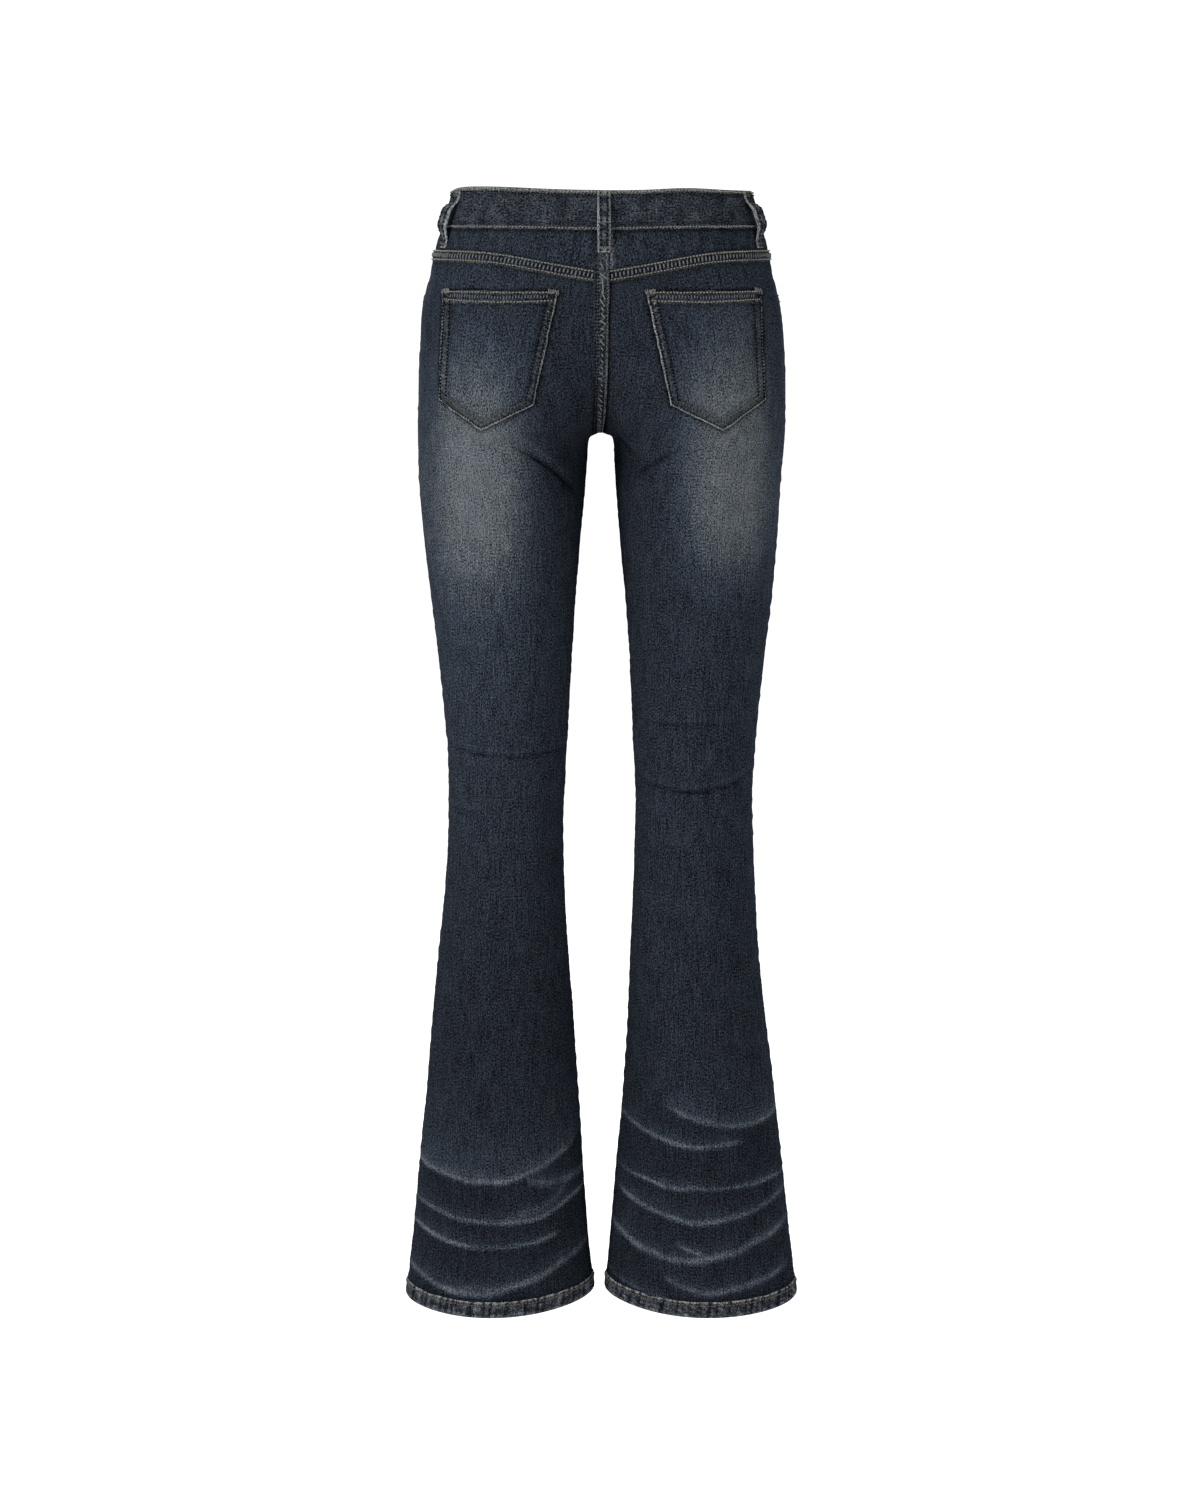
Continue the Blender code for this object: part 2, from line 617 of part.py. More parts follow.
def turned_mesh(name, profile, steps=24):
    """A closed body turned about its own Z from a profile of (radius, height) rows, low end first."""
    shape = bmesh.new()
    corners = [shape.verts.new((radius, 0, height)) for radius, height in profile]
    edges = [shape.edges.new(pair) for pair in zip(corners, corners[1:])]
    turned = corners + edges
    bmesh.ops.spin(shape, geom=turned, cent=(0, 0, 0), axis=(0, 0, 1), angle=2 * pi, steps=steps)
    bmesh.ops.remove_doubles(shape, verts=shape.verts, dist=1e-6)
    bmesh.ops.recalc_face_normals(shape, faces=shape.faces)
    mesh = bpy.data.meshes.new(name)
    shape.to_mesh(mesh)
    shape.free()
    return mesh


def block_mesh(name, size, bevel):
    """A block with bevelled edges, centred on its origin."""
    shape = bmesh.new()
    bmesh.ops.create_cube(shape, size=1)
    bmesh.ops.scale(shape, vec=size, verts=shape.verts)
    bmesh.ops.bevel(shape, geom=shape.edges, offset=bevel, segments=2, profile=0.5, affect="EDGES")
    mesh = bpy.data.meshes.new(name)
    shape.to_mesh(mesh)
    shape.free()
    return mesh


def front_place(across, level):
    """The cloth's point at the centre front, a little way across to the wearer's left, and the way out."""
    angle = 2 * np.arcsin(across / figure("side_left", level))
    drop = drop_at_level(LEFT, angle, level)
    return surface(LEFT, angle, drop), normals(LEFT, angle, drop)


def make_button(finish, parent, waistband):
    """A shank button on the under end of the waistband, through a buttonhole in the end above it."""
    point, out = front_place(BUTTON_ACROSS, FRONT_DIP + BAND_HEIGHT / 2)
    shank = BAND_CLOTH + OVERLAP_GAP - GAP
    profile = (
        (0, -shank),
        (SHANK_RADIUS, -shank),
        (SHANK_RADIUS, GAP),
        (BUTTON_RADIUS - BUTTON_RIM / 2, GAP),
        (BUTTON_RADIUS, GAP + BUTTON_RIM),
        (BUTTON_RADIUS, BUTTON_HEIGHT - BUTTON_RIM),
        (BUTTON_RADIUS - BUTTON_RIM, BUTTON_HEIGHT),
        (BUTTON_RADIUS - 2 * BUTTON_RIM, BUTTON_HEIGHT),
        (BUTTON_RADIUS - 3 * BUTTON_RIM, BUTTON_HEIGHT - BUTTON_RIM),
        (0, BUTTON_HEIGHT - BUTTON_RIM / 2),
    )
    button = add_object("waist_button", turned_mesh("waist_button", profile), finish, parent)
    tilt = np.arcsin(out[2])
    turn = np.arctan2(out[0], -out[1])
    button.rotation_euler = (pi / 2 - tilt, 0, turn)
    button.location = point + out * BAND_STANDS

    cutter_size = (BUTTONHOLE_LENGTH, CUTTER_DEPTH, BUTTONHOLE_WIDTH)
    cutter_mesh = block_mesh("buttonhole_cutter", cutter_size, CUTTER_BEVEL)
    cutter = bpy.data.objects.new("buttonhole_cutter", cutter_mesh)
    bpy.context.scene.collection.objects.link(cutter)
    cutter.parent = parent
    cutter.rotation_euler = (-tilt, 0, turn)
    inside = BAND_CLOTH - BAND_STANDS + OVERLAP_GAP / 2
    cutter.location = point + out * (CUTTER_DEPTH / 2 - inside)
    cutter.hide_render = True
    cutter.display_type = "WIRE"
    cut = waistband.modifiers.new("buttonhole", "BOOLEAN")
    cut.operation = "DIFFERENCE"
    cut.object = cutter
    return button


def fly_grid(across, top_level, low_level, width_level):
    """Angles and drops of a straight strip behind the fly, from its columns' places across and its
    two ends' levels. The cloth's width at `width_level` turns a place across into an angle."""
    level = np.linspace(top_level, low_level, 6)
    angle = np.tile(2 * np.arcsin(across / figure("side_left", width_level)), (len(level), 1))
    drop = drop_at_level(LEFT, angle, np.broadcast_to(level[:, None], angle.shape))
    return angle, drop


def make_shield(finish, parent):
    """The cloth behind the zip."""
    across = np.linspace(*SHIELD_ACROSS, 5)
    half_way = (FLY_TOP_DROP + FLY_BOTTOM_DROP) / 2
    angle, drop = fly_grid(across, FLY_TOP_DROP, FLY_BOTTOM_DROP, half_way)
    cloth_wall("fly_shield", LEFT, angle, drop, finish, parent, SHIELD_CLOTH, depth=SHIELD_DEPTH)


def make_zip(tape_finish, metal_finish, parent):
    """Tape and chain in one strip, thicker along the chain, and the slider at its top."""
    columns = np.array([TAPE_HALF_WIDTH, CHAIN_HALF_WIDTH + CHAIN_EDGE, CHAIN_HALF_WIDTH])
    across = ZIP_ACROSS + np.append(-columns, columns[::-1])
    angle, drop = fly_grid(across, ZIP_TOP_DROP, ZIP_BOTTOM_DROP, ZIP_TOP_DROP)
    chain = np.tile(CHAIN_STANDS * np.array([0, 0, 1, 1, 0, 0]), (len(angle), 1))
    cloth_wall("fly_zip", LEFT, angle, drop, tape_finish, parent, TAPE_CLOTH, chain, TAPE_DEPTH)

    point, out = front_place(ZIP_ACROSS, ZIP_TOP_DROP - SLIDER_BELOW_TOP)
    mesh = block_mesh("zip_slider", SLIDER_SIZE, SLIDER_BEVEL)
    slider = add_object("zip_slider", mesh, metal_finish, parent)
    slider.rotation_euler = (-np.arcsin(out[2]), 0, np.arctan2(out[0], -out[1]))
    slider.location = point - out * (DENIM + 2 * GAP + SLIDER_SIZE[1] / 2 + SLIDER_CLEARANCE)


def clear_scene():
    for old in list(bpy.data.objects):
        bpy.data.objects.remove(old, do_unlink=True)


def build():
    clear_scene()
    jeans = bpy.data.objects.new("jeans", None)
    bpy.context.scene.collection.objects.link(jeans)
    denim = (DENIM_COLOUR, 0.9)
    reverse = (DENIM_INSIDE_COLOUR, 0.9)
    brass = (BRASS_COLOUR, 0.35, 1.0)
    tape = (TAPE_COLOUR, 0.85)
    for side in (LEFT, RIGHT):
        make_back(side, denim, jeans)
        make_front(side, denim, jeans)
        make_yoke(side, denim, jeans)
        make_hem(side, denim, jeans)
        make_pocket(side, denim, jeans)
        make_facing(side, denim, jeans)
    waistband = make_waistband(denim, jeans)
    for name, (side, angle, length, stand_off, edge_more) in LOOPS.items():
        make_loop(name, side, angle, length, stand_off, edge_more, denim, jeans)
    make_button(brass, jeans, waistband)
    make_shield(reverse, jeans)
    make_zip(tape, brass, jeans)


build()
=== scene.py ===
"""Looks of the bootcut jeans: dark washed denim, worn and hollow, seen from behind."""

from math import cos, pi, radians, sin

import bpy
import numpy as np
from mathutils import Matrix


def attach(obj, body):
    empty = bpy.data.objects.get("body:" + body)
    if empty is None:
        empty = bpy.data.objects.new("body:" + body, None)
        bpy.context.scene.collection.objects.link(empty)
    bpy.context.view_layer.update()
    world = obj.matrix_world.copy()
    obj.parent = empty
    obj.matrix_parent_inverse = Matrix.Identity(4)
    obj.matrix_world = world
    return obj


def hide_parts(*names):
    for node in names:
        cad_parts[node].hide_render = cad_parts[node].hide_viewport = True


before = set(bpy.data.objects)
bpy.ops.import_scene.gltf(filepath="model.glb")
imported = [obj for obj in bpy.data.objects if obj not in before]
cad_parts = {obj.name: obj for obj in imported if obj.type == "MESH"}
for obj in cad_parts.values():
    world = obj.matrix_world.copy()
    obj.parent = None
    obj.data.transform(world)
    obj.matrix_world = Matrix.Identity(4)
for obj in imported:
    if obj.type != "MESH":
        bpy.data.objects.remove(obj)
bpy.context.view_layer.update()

MM = 0.001
LEFT, RIGHT = 1, -1
SIDE_NAME = {LEFT: "left", RIGHT: "right"}

# Lengths of the garment
BAND_HEIGHT = 0.0335
TOP_EDGE = BAND_HEIGHT / 2
RISE = 0.2190
LENGTH = 1.040
HEM_HEIGHT = 0.0155
FRONT_DIP = 0.035
HEM_DIP = 0.0065
HEM_INSEAM_RISE = 0.0055

# Cloth
DENIM = 0.0014
BAND_CLOTH = 0.0030
HEM_CLOTH = 0.0034
LAP = 0.0009
BAND_STANDS = 0.0008
HEM_STANDS = 0.0006

# How the hips turn into two legs
BLEND_TOP, BLEND_END = 0.100, 0.320
ARCH = 0.0030
PARTING_SPREAD = 60
RISE_POWER = 4
SADDLE_SPREAD = 1.0
HIP_SQUARE = 0.06
BLEND_FULLNESS = 0.12

# Widths and depths of the figure, in millimetres, by drop below the waistband's top edge
FIGURE_COLUMNS = ("drop", "side_left", "side_right", "inner_left", "inner_right", "front", "back", "seam")
FIGURE_ROWS = (
    (0, 136, 136, 12, 11, 92, 97, 4),
    (18, 141, 141, 12, 11, 95, 101, 4),
    (36, 147, 147, 12, 11, 97, 104, 4),
    (55, 153, 152, 12, 11, 99, 108, 4),
    (75, 156.8, 156, 12, 11, 100, 112, 4),
    (100, 163.5, 162.5, 12, 11, 99, 117, 4),
    (140, 166.8, 167, 12, 11, 96, 122, 4),
    (180, 168.5, 168.5, 12, 11, 91, 121, 4),
    (220, 169.5, 168.5, 12.5, 11, 89, 113, 4),
    (260, 169, 165.5, 15, 12.5, 88, 103, 3),
    (310, 165.2, 162.5, 19.5, 16, 86, 93, 2),
    (370, 158.8, 158, 24.3, 21.5, 82, 83, 1),
    (430, 152.3, 151.5, 28.3, 25.7, 77, 75, 0),
    (480, 147.5, 146.3, 31, 28, 71, 68, 0),
    (520, 144.3, 143, 33.5, 30, 66, 63, 0),
    (560, 143.7, 141, 35.5, 32, 63, 61, 1),
    (600, 144.6, 142, 36.5, 31, 60, 63, 3),
    (650, 148, 144.2, 35.6, 29.4, 57, 67, 6),
    (700, 153.4, 147, 32.5, 27, 56, 70, 8),
    (760, 158.8, 153, 27.8, 24.9, 56, 72, 9),
    (830, 165, 162.2, 23.3, 20.7, 56, 73, 9),
    (900, 172.4, 170.2, 18.8, 14.7, 56.5, 73.5, 9),
    (970, 179.2, 177.8, 14.2, 8.9, 57, 74, 9),
    (1050, 188.5, 187.5, 6, 1.5, 57, 74, 9),
)
FIGURE = dict(zip(FIGURE_COLUMNS, np.array(FIGURE_ROWS).T * MM))
FIGURE_SLOPES = {name: np.gradient(FIGURE[name], FIGURE["drop"]) for name in FIGURE_COLUMNS}

# Creases: leg, angle at the middle, drop at the ends, half span, sag at the middle, slant, half width, depth
CREASES = (
    (LEFT, 272, 505, 84, 8, 2, 7, 3.4),
    (LEFT, 222, 566, 34, 1, 0, 7, 1.6),
    (RIGHT, 270, 528, 84, 18, 3, 8, 3.8),
    (RIGHT, 285, 481, 44, 3, 0, 7, 2.0),
    (LEFT, 313, 246, 25, 0, 30, 12, 3.4),
    (LEFT, 300, 234, 13, 0, 12, 6, 2.2),
    (RIGHT, 337, 227, 10, 0, -9, 6, 2.0),
    (RIGHT, 309, 238, 15, 0, 15, 10, 3.4),
    (LEFT, 95, 492, 62, 9, 4, 9, 2.8),
    (RIGHT, 88, 517, 66, 7, -3, 9, 3.0),
    (LEFT, 60, 548, 44, 5, 5, 8, 1.8),
    (RIGHT, 120, 561, 40, 4, -4, 8, 1.8),
    (LEFT, 52, 232, 34, 4, -16, 8, 2.6),
    (RIGHT, 50, 238, 36, 4, -15, 8, 2.6),
    (LEFT, 62, 206, 30, 3, -12, 7, 1.8),
    (RIGHT, 66, 203, 28, 3, -12, 7, 1.8),
)

# Flutes: soft ridges down the flare. leg, angle, half span, drop at the middle, half length, height
FLUTES = (
    (LEFT, 333, 16, 690, 120, 2.2),
    (LEFT, 250, 26, 900, 230, 2.0),
    (LEFT, 205, 20, 820, 180, 1.6),
    (LEFT, 118, 26, 860, 220, 2.6),
    (LEFT, 48, 24, 900, 230, 2.2),
    (RIGHT, 323, 16, 680, 120, 2.2),
    (RIGHT, 208, 18, 730, 150, 2.2),
    (RIGHT, 292, 26, 900, 230, 2.0),
    (RIGHT, 74, 26, 880, 220, 2.6),
    (RIGHT, 140, 24, 900, 200, 2.0),
)

# Seams
YOKE_SIDE_DROP = 0.0535
YOKE_V_DEPTH = 0.018
YOKE_V_REACH = 0.150
YOKE_V_POWER = 1.35
YOKE_PULL, YOKE_PULL_AT, YOKE_PULL_REACH = 0.0029, 0.096, 0.044
BAND_SAG, BAND_SAG_REACH = 0.0016, 0.055
FELL_HEIGHT = 0.0098
SEAT_EDGE = 0.0062
SEAT_EDGE_NARROWS = 0.65
SEAT_ROPE_PITCH, SEAT_ROPE_SLANT = 0.0056, -0.8
SEAM_GROOVE, SEAM_PUCKER = 0.0009, 0.00030
# Metres of cloth to a radian: at the outseam, and at the inseam and the centre back
OUTSEAM_RADIAN, INSEAM_RADIAN = 0.085, 0.075
# Rows of sewing: below the yoke seam with their thickness, and below the pocket mouth's edge
FELL_ROWS = ((0.0010, 0.00120), (0.0084, 0.00105))
FELL_MIDDLE = 0.0047
MOUTH_ROWS = (0.0016, 0.0070)
RIBS_ACROSS = 9.0
# Rows of a leg panel's grid above the common drop, and the drop where its columns are set out
TOP_ROWS, TOP_DROP = 26, 0.05
COMMON_DROP = 0.100
MOUTH_START = radians(75)
MOUTH_DROP = 0.093
FLY_SHIFT = 0.050

# Back pocket corners as seen from behind: distance out from the centre line and drop
POCKET_TOP_INNER = (0.0387, 0.0886)
POCKET_TOP_OUTER = (0.1417, 0.0886)
POCKET_LOW_INNER = (0.0610, 0.1883)
POCKET_TIP = (0.1076, 0.2114)
POCKET_LOW_OUTER = (0.1456, 0.1850)
POCKET_STANDS = 0.0009
POCKET_CROWD = 0.085
POCKET_ROPE_PITCH = 0.0062

# Rows of the grids of waistband and hem, as parts of their height, and the hem's tucks and sewing
BAND_ROWS = (0, 0.012, 0.035, 0.07, 0.11, 0.16, 0.23, 0.31, 0.4, 0.5)
BAND_ROWS += (0.6, 0.69, 0.77, 0.84, 0.89, 0.93, 0.965, 0.988, 1.0)
HEM_ROWS = (0, 0.03, 0.08, 0.15, 0.24, 0.34, 0.46, 0.58, 0.70, 0.80, 0.88, 0.94, 0.98, 1.0)
HEM_TUCKS = 66
HEM_SEWING = 0.0034

# Belt loops: leg, angle in degrees, length, stand-off, extra stand-off of the edge nearer the front
LOOPS = {
    "belt_loop_back": (RIGHT, 358.6, 0.0535, 0.0060, 0.0),
    "belt_loop_side_left": (LEFT, 230, 0.0500, 0.0068, 0.0018),
    "belt_loop_side_right": (RIGHT, 230, 0.0500, 0.0068, 0.0020),
    "belt_loop_front_left": (LEFT, 66, 0.0520, 0.0070, 0.0),
    "belt_loop_front_right": (RIGHT, 66, 0.0520, 0.0070, 0.0),
}
LOOP_WIDTH = 0.0121
LOOP_CLOTH = 0.0020
LOOP_TOP_DROP = 0.0012
LOOP_FOOT = 0.006
LOOP_ROWS = (-0.26, 0.26)
LOOP_ROPE_PITCH = 0.0048

# Fly, zip and button
BAND_OVERLAP = 0.040
BAND_END = 0.004
OVERLAP_GAP = 0.0010
BUTTON_ACROSS = 0.010
FLY_BOTTOM_DROP = 0.150
FLY_STITCH_ACROSS = 0.036
FLY_STRAIGHT = 0.45
ZIP_ACROSS = 0.011

# Wash: pale lines rubbed across the flare. Places in millimetres, as distance out from the centre
# line and drop, at the outer end, the lowest point and the inner end; then half width and strength.
RUBBED_LINES = (
    (LEFT, 175, 902, 98, 911, 27, 884, 2.1, 0.52),
    (LEFT, 70, 911, 46, 917, 17, 916, 3.6, 0.26),
    (LEFT, 177, 940, 75, 950, 15, 930, 1.9, 0.52),
    (LEFT, 92, 951, 60, 940, 28, 916, 4.6, 0.20),
    (LEFT, 181, 963, 104, 973, 42, 968, 2.0, 0.56),
    (LEFT, 184, 1005, 126, 1017, 13, 985, 2.8, 0.54),
    (LEFT, 132, 1011, 92, 1012, 60, 1002, 1.8, 0.22),
    (RIGHT, 167, 855, 138, 860, 63, 842, 2.3, 0.42),
    (RIGHT, 131, 874, 88, 877, 18, 859, 2.1, 0.56),
    (RIGHT, 172, 916, 80, 917, 14, 910, 1.6, 0.50),
    (RIGHT, 173, 932, 89, 949, 17, 931, 2.3, 0.56),
    (RIGHT, 175, 961, 69, 986, 8, 968, 3.0, 0.58),
    (RIGHT, 95, 982, 90, 978, 70, 970, 1.3, 0.34),
    (RIGHT, 173, 1003, 98, 1016, 58, 1003, 2.8, 0.46),
    (RIGHT, 62, 1023, 48, 1023, 2, 1014, 1.6, 0.24),
)
RUB_STRENGTH = 1.12
FRONT_LINES_LOWER = 9
# The cloth is paler above the first line of each leg: the line's row in the table, reach, strength
PALE_ABOVE = {0: (95, 0.20), 7: (85, 0.12)}

# Light wear all over: drop, then how far the dye is gone on the left and right leg.
# The right leg's numbers are partly painted light, raised for the side away from the key lamp.
BASE_WEAR_AND_PAINTED_LIGHT = (
    (50, 0.10, 0.07),
    (110, 0.05, 0.07),
    (210, 0.05, 0.07),
    (380, 0.14, 0.08),
    (560, 0.10, 0.09),
    (750, 0.03, 0.055),
    (870, 0.01, 0.02),
    (960, 0.00, 0.01),
    (1050, 0.01, 0.01),
)
# The worn waistband's top edge rises in two soft humps at the back: leg, distance out, reach, height
TOP_HUMPS = ((LEFT, 112, 62, 3.6), (RIGHT, 76, 30, 1.9))

# Thigh fades at the back: leg, distance out, drop, reach inwards, outwards, up and down, strength
THIGH_FADES = (
    (LEFT, 114, 260, 43, 36, 100, 90, 1.06),
    (RIGHT, 120, 266, 41, 29, 122, 70, 1.00),
)
# The front's thigh fade: distance out, reach, drop, reach up and down, strength
FRONT_FADE = (92, 44, 330, 130, 150, 0.72)
# Wear along the outseam, and how much more over each hip
OUTSEAM_WEAR = 0.05
HIP_WEAR = {LEFT: 0.26, RIGHT: 0.20}
# Wear of the yoke and the back pockets by leg; the right leg's share is partly painted light, for the side
# away from the key lamp.
YOKE_WEAR_AND_PAINTED_LIGHT = {LEFT: 0.10, RIGHT: 0.085}
POCKET_WEAR_AND_PAINTED_LIGHT = {LEFT: 0.01, RIGHT: 0.04}
# Shaded hollows of the inner thighs: leg, angle, drop, half span, half height, strength
HOLLOWS = (
    (LEFT, 330, 262, 22, 26, 0.28),
    (LEFT, 345, 330, 24, 90, 0.16),
    (LEFT, 324, 236, 9, 12, 0.26),
    (RIGHT, 336, 243, 12, 18, 0.32),
    (RIGHT, 318, 250, 8, 12, 0.20),
)
THREAD_PITCH = 0.0030

# Colours in linear light, as the cloth is without the studio's lamps
INDIGO = (0.0078, 0.0095, 0.0127)
HALF_WORN = (0.0192, 0.0242, 0.0328)
HALF_WORN_AT = 0.25
LONG_SLUB_SIZE = (0.0013, 0.0370)
TWILL_SCALE = 260.0
WORN = (0.0630, 0.0715, 0.0785)
RUBBED_BARE = (0.1230, 0.1300, 0.1330)
REVERSE = (0.060, 0.072, 0.092)
GOLD_THREAD = (0.168, 0.158, 0.104)
TAN_THREAD = (0.145, 0.142, 0.115)
OLIVE_THREAD = (0.068, 0.071, 0.062)
BROWN_THREAD = (0.070, 0.056, 0.042)
RIB_CLOTH = (0.082, 0.088, 0.092)
STREAK_CLOTH = (0.112, 0.118, 0.122)
DARK_THREAD = (0.0035, 0.0040, 0.0055)
RUST_THREAD = (0.125, 0.092, 0.066)


# ---------------------------------------------------------------- the garment's surface


def figure(column, drop):
    """A column of the figure's table at any drop: a cubic between two rows, sloped by their neighbours."""
    drops, values, slopes = FIGURE["drop"], FIGURE[column], FIGURE_SLOPES[column]
    row = np.clip(np.searchsorted(drops, drop) - 1, 0, len(drops) - 2)
    step = drops[row + 1] - drops[row]
    part = np.clip((drop - drops[row]) / step, 0, 1)
    rest = 1 - part
    here = values[row] * (1 + 2 * part) * rest**2 + slopes[row] * step * part * rest**2
    there = values[row + 1] * part**2 * (3 - 2 * part) - slopes[row + 1] * step * part**2 * rest
    return here + there


def ease(start, end, value):
    """0 up to start, 1 past end, and a smooth S between them."""
    part = np.clip((value - start) / (end - start), 0, 1)
    return part * part * (3 - 2 * part)


def bell(value, width):
    """1 at 0, falling off as a Gauss curve."""
    return np.exp(-((value / width) ** 2))


def span_part(turn, middle, half_span):
    """Where an angle in degrees lies in a span: 0 at its middle, -1 and 1 at its ends."""
    return ((turn - middle + 180) % 360 - 180) / half_span


def fold_height(side, angle, drop):
    """How far the creases and flutes move the cloth outwards: a trough with a lip above it, inside
    a window along its span, and a Gauss ridge inside a window down the leg."""
    turn = np.degrees(angle)
    height = np.zeros(np.broadcast(angle, drop).shape)
    for leg, middle, line, half_span, sag, slant, half_width, depth in CREASES:
        if leg != side:
            continue
        along = span_part(turn, middle, half_span)
        across = (drop / MM - line - sag * (1 - along**2) - slant * along) / half_width
        window = np.clip(1 - along**2, 0, 1) ** 2
        height -= depth * MM * window * (bell(across, 1) - 0.4 * bell(across + 1.8, 1))
    for leg, middle, half_span, line, half_length, ridge in FLUTES:
        if leg != side:
            continue
        across = span_part(turn, middle, half_span)
        along = (drop / MM - line) / half_length
        height += ridge * MM * np.clip(1 - along**2, 0, 1) ** 2 * bell(across, 1)
    return height


def real_root(real, imaginary):
    """The real part of a complex number's square root."""
    return np.sqrt((real + np.hypot(real, imaginary)) / 2)


def half_garment(side, angle, drop):
    """Points of one leg and its half of the hips, for angles 0 to 2 pi. Hips: x = width times
    sin(angle/2), y = depth times -cos(angle/2). Leg: an ellipse round the leg's axis. A weight turns
    one into the other down the rise, first beside the centre line."""
    front = angle < pi
    name = SIDE_NAME[side]
    fall = np.clip(drop / RISE, 0, 1)
    middle = (1 + np.cos(angle)) / 2
    waist_dip = np.where(front, FRONT_DIP, 0.0) * middle * (1 - fall) ** 2
    hem_part = np.clip((drop - RISE) / (LENGTH - RISE), 0, 1) ** 3
    hem_dip = np.where(front, -HEM_DIP, HEM_DIP) * np.sin(angle) ** 2 - HEM_INSEAM_RISE * middle**2
    level = drop + waist_dip + hem_dip * hem_part

    out = figure("side_" + name, level)
    seam = figure("seam", level)
    depth = np.where(front, figure("front", level) + seam, figure("back", level) - seam)
    from_line = np.abs(np.sin(angle / 2))
    below = (drop - RISE) / ARCH
    parted = (below + np.hypot(below, PARTING_SPREAD * from_line**2)) / 2
    inner = figure("inner_" + name, level) * np.sqrt(1 - np.exp(-parted))
    half = (out - inner) / 2
    left_of_rise = 1 - np.clip(drop / RISE, 0, 1.5) ** RISE_POWER
    to_line = real_root(left_of_rise, SADDLE_SPREAD * from_line)
    to_line = to_line / real_root(1.0, SADDLE_SPREAD * from_line)
    near = middle**3
    blend = ease(BLEND_TOP, BLEND_END, drop)
    weight = blend * (1 - near) + (1 - to_line) * near
    square = 1 + HIP_SQUARE * np.sin(angle) ** 2
    hip_x = out * np.sin(angle / 2) * square
    hip_y = -np.cos(angle / 2) * depth * square
    leg_x = inner + half * (1 - np.cos(angle))
    leg_y = -np.sin(angle) * depth
    fullness = 1 + BLEND_FULLNESS * 4 * weight * (1 - weight)
    x = (1 - weight) * hip_x + weight * leg_x
    y = ((1 - weight) * hip_y + weight * leg_y) * fullness

    from_axis = x - (out + inner) / 2
    reach = np.maximum(np.hypot(from_axis, y), 0.001)
    fold = fold_height(side, angle, drop)
    x = x + fold * from_axis / reach
    y = y + fold * y / reach
    return np.stack([side * x, seam + y, TOP_EDGE - level], -1)


def surface(side, angle, drop):
    """Points of the cloth. Past the centre line a row goes on over the other half above the crotch,
    and round the same leg below it."""
    angle, drop = np.broadcast_arrays(np.asarray(angle, float), np.asarray(drop, float))
    upper = drop < RISE
    mirrored = np.where(angle > 2 * pi, 4 * pi - angle, np.abs(angle))
    past = upper & ((angle > 2 * pi) | (angle < 0))
    own = half_garment(side, np.where(upper, mirrored, np.mod(angle, 2 * pi)), drop)
    if not past.any():
        return own
    other = half_garment(-side, mirrored, drop)
    return np.where(past[..., None], other, own)


def normals(side, angle, drop):
    """Unit vectors out of the cloth, from differences of the surface."""
    turn, fall = 0.01, 0.001
    across = surface(side, angle + turn, drop) - surface(side, angle - turn, drop)
    down = surface(side, angle, drop + fall) - surface(side, angle, drop - fall)
    out = np.cross(down, across) * side
    return out / np.linalg.norm(out, axis=-1, keepdims=True)


def drop_at_level(side, angle, level):
    """The drop along the outseam whose row passes this level at this angle, by halving."""
    angle, level = np.broadcast_arrays(np.asarray(angle, float), np.asarray(level, float))
    low, high = np.zeros(angle.shape), np.full(angle.shape, RISE)
    for _ in range(26):
        middle = (low + high) / 2
        above = TOP_EDGE - surface(side, angle, middle)[..., 2] < level
        low = np.where(above, middle, low)
        high = np.where(above, high, middle)
    return (low + high) / 2


def back_spot(side, out, level):
    """Angle and drop of the point on the back that lies `out` from the centre line at this level,
    by Newton steps from its place on a plain ellipse."""
    width = figure("side_" + SIDE_NAME[side], level)
    angle = 2 * pi - 2 * np.arcsin(np.clip(out / width, 0, 0.97))
    drop = np.array(level, float)
    nudge = 1e-5
    for _ in range(10):
        here = surface(side, angle, drop)
        by_angle = (surface(side, angle + nudge, drop) - here) / nudge
        by_drop = (surface(side, angle, drop + nudge) - here) / nudge
        miss_x = side * out - here[..., 0]
        miss_z = TOP_EDGE - level - here[..., 2]
        scale = by_angle[..., 0] * by_drop[..., 2] - by_drop[..., 0] * by_angle[..., 2]
        angle = angle + (miss_x * by_drop[..., 2] - by_drop[..., 0] * miss_z) / scale
        drop = drop + (by_angle[..., 0] * miss_z - miss_x * by_angle[..., 2]) / scale
    return angle, drop


def waist_line(side, angle, below=0.0):
    """Drop of the waistband's lower edge, or of a line this far below it. It sags a little at the
    centre back."""
    rim = surface(side, angle, 0.0)
    sag = BAND_SAG * bell(rim[..., 0], BAND_SAG_REACH) * (rim[..., 1] > 0)
    return drop_at_level(side, angle, TOP_EDGE - rim[..., 2] + BAND_HEIGHT + sag + below)


def yoke_level(out):
    """Level of the yoke seam at a distance out from the centre line: a shallow V, pulled up a
    little over the pockets."""
    toward_centre = np.clip(1 - np.abs(out) / YOKE_V_REACH, 0, 1)
    pull = YOKE_PULL * bell(np.abs(out) - YOKE_PULL_AT, YOKE_PULL_REACH)
    return YOKE_SIDE_DROP + YOKE_V_DEPTH * toward_centre**YOKE_V_POWER - pull


def yoke_line(side, angle, below=0.0):
    """Drop of the yoke seam, or of a line this far below it."""
    drop = np.full(np.shape(angle), YOKE_SIDE_DROP)
    for _ in range(4):
        drop = drop_at_level(side, angle, yoke_level(surface(side, angle, drop)[..., 0]) + below)
    return drop


def mouth_line(side, angle):
    """Drop of the front panel's top edge: the waistband, then the curved pocket mouth."""
    part = np.clip((angle - MOUTH_START) / (pi - MOUTH_START), 0, 1)
    band = waist_line(side, angle)
    return band + (MOUTH_DROP - band) * np.sqrt(1 - (1 - part) ** 2)


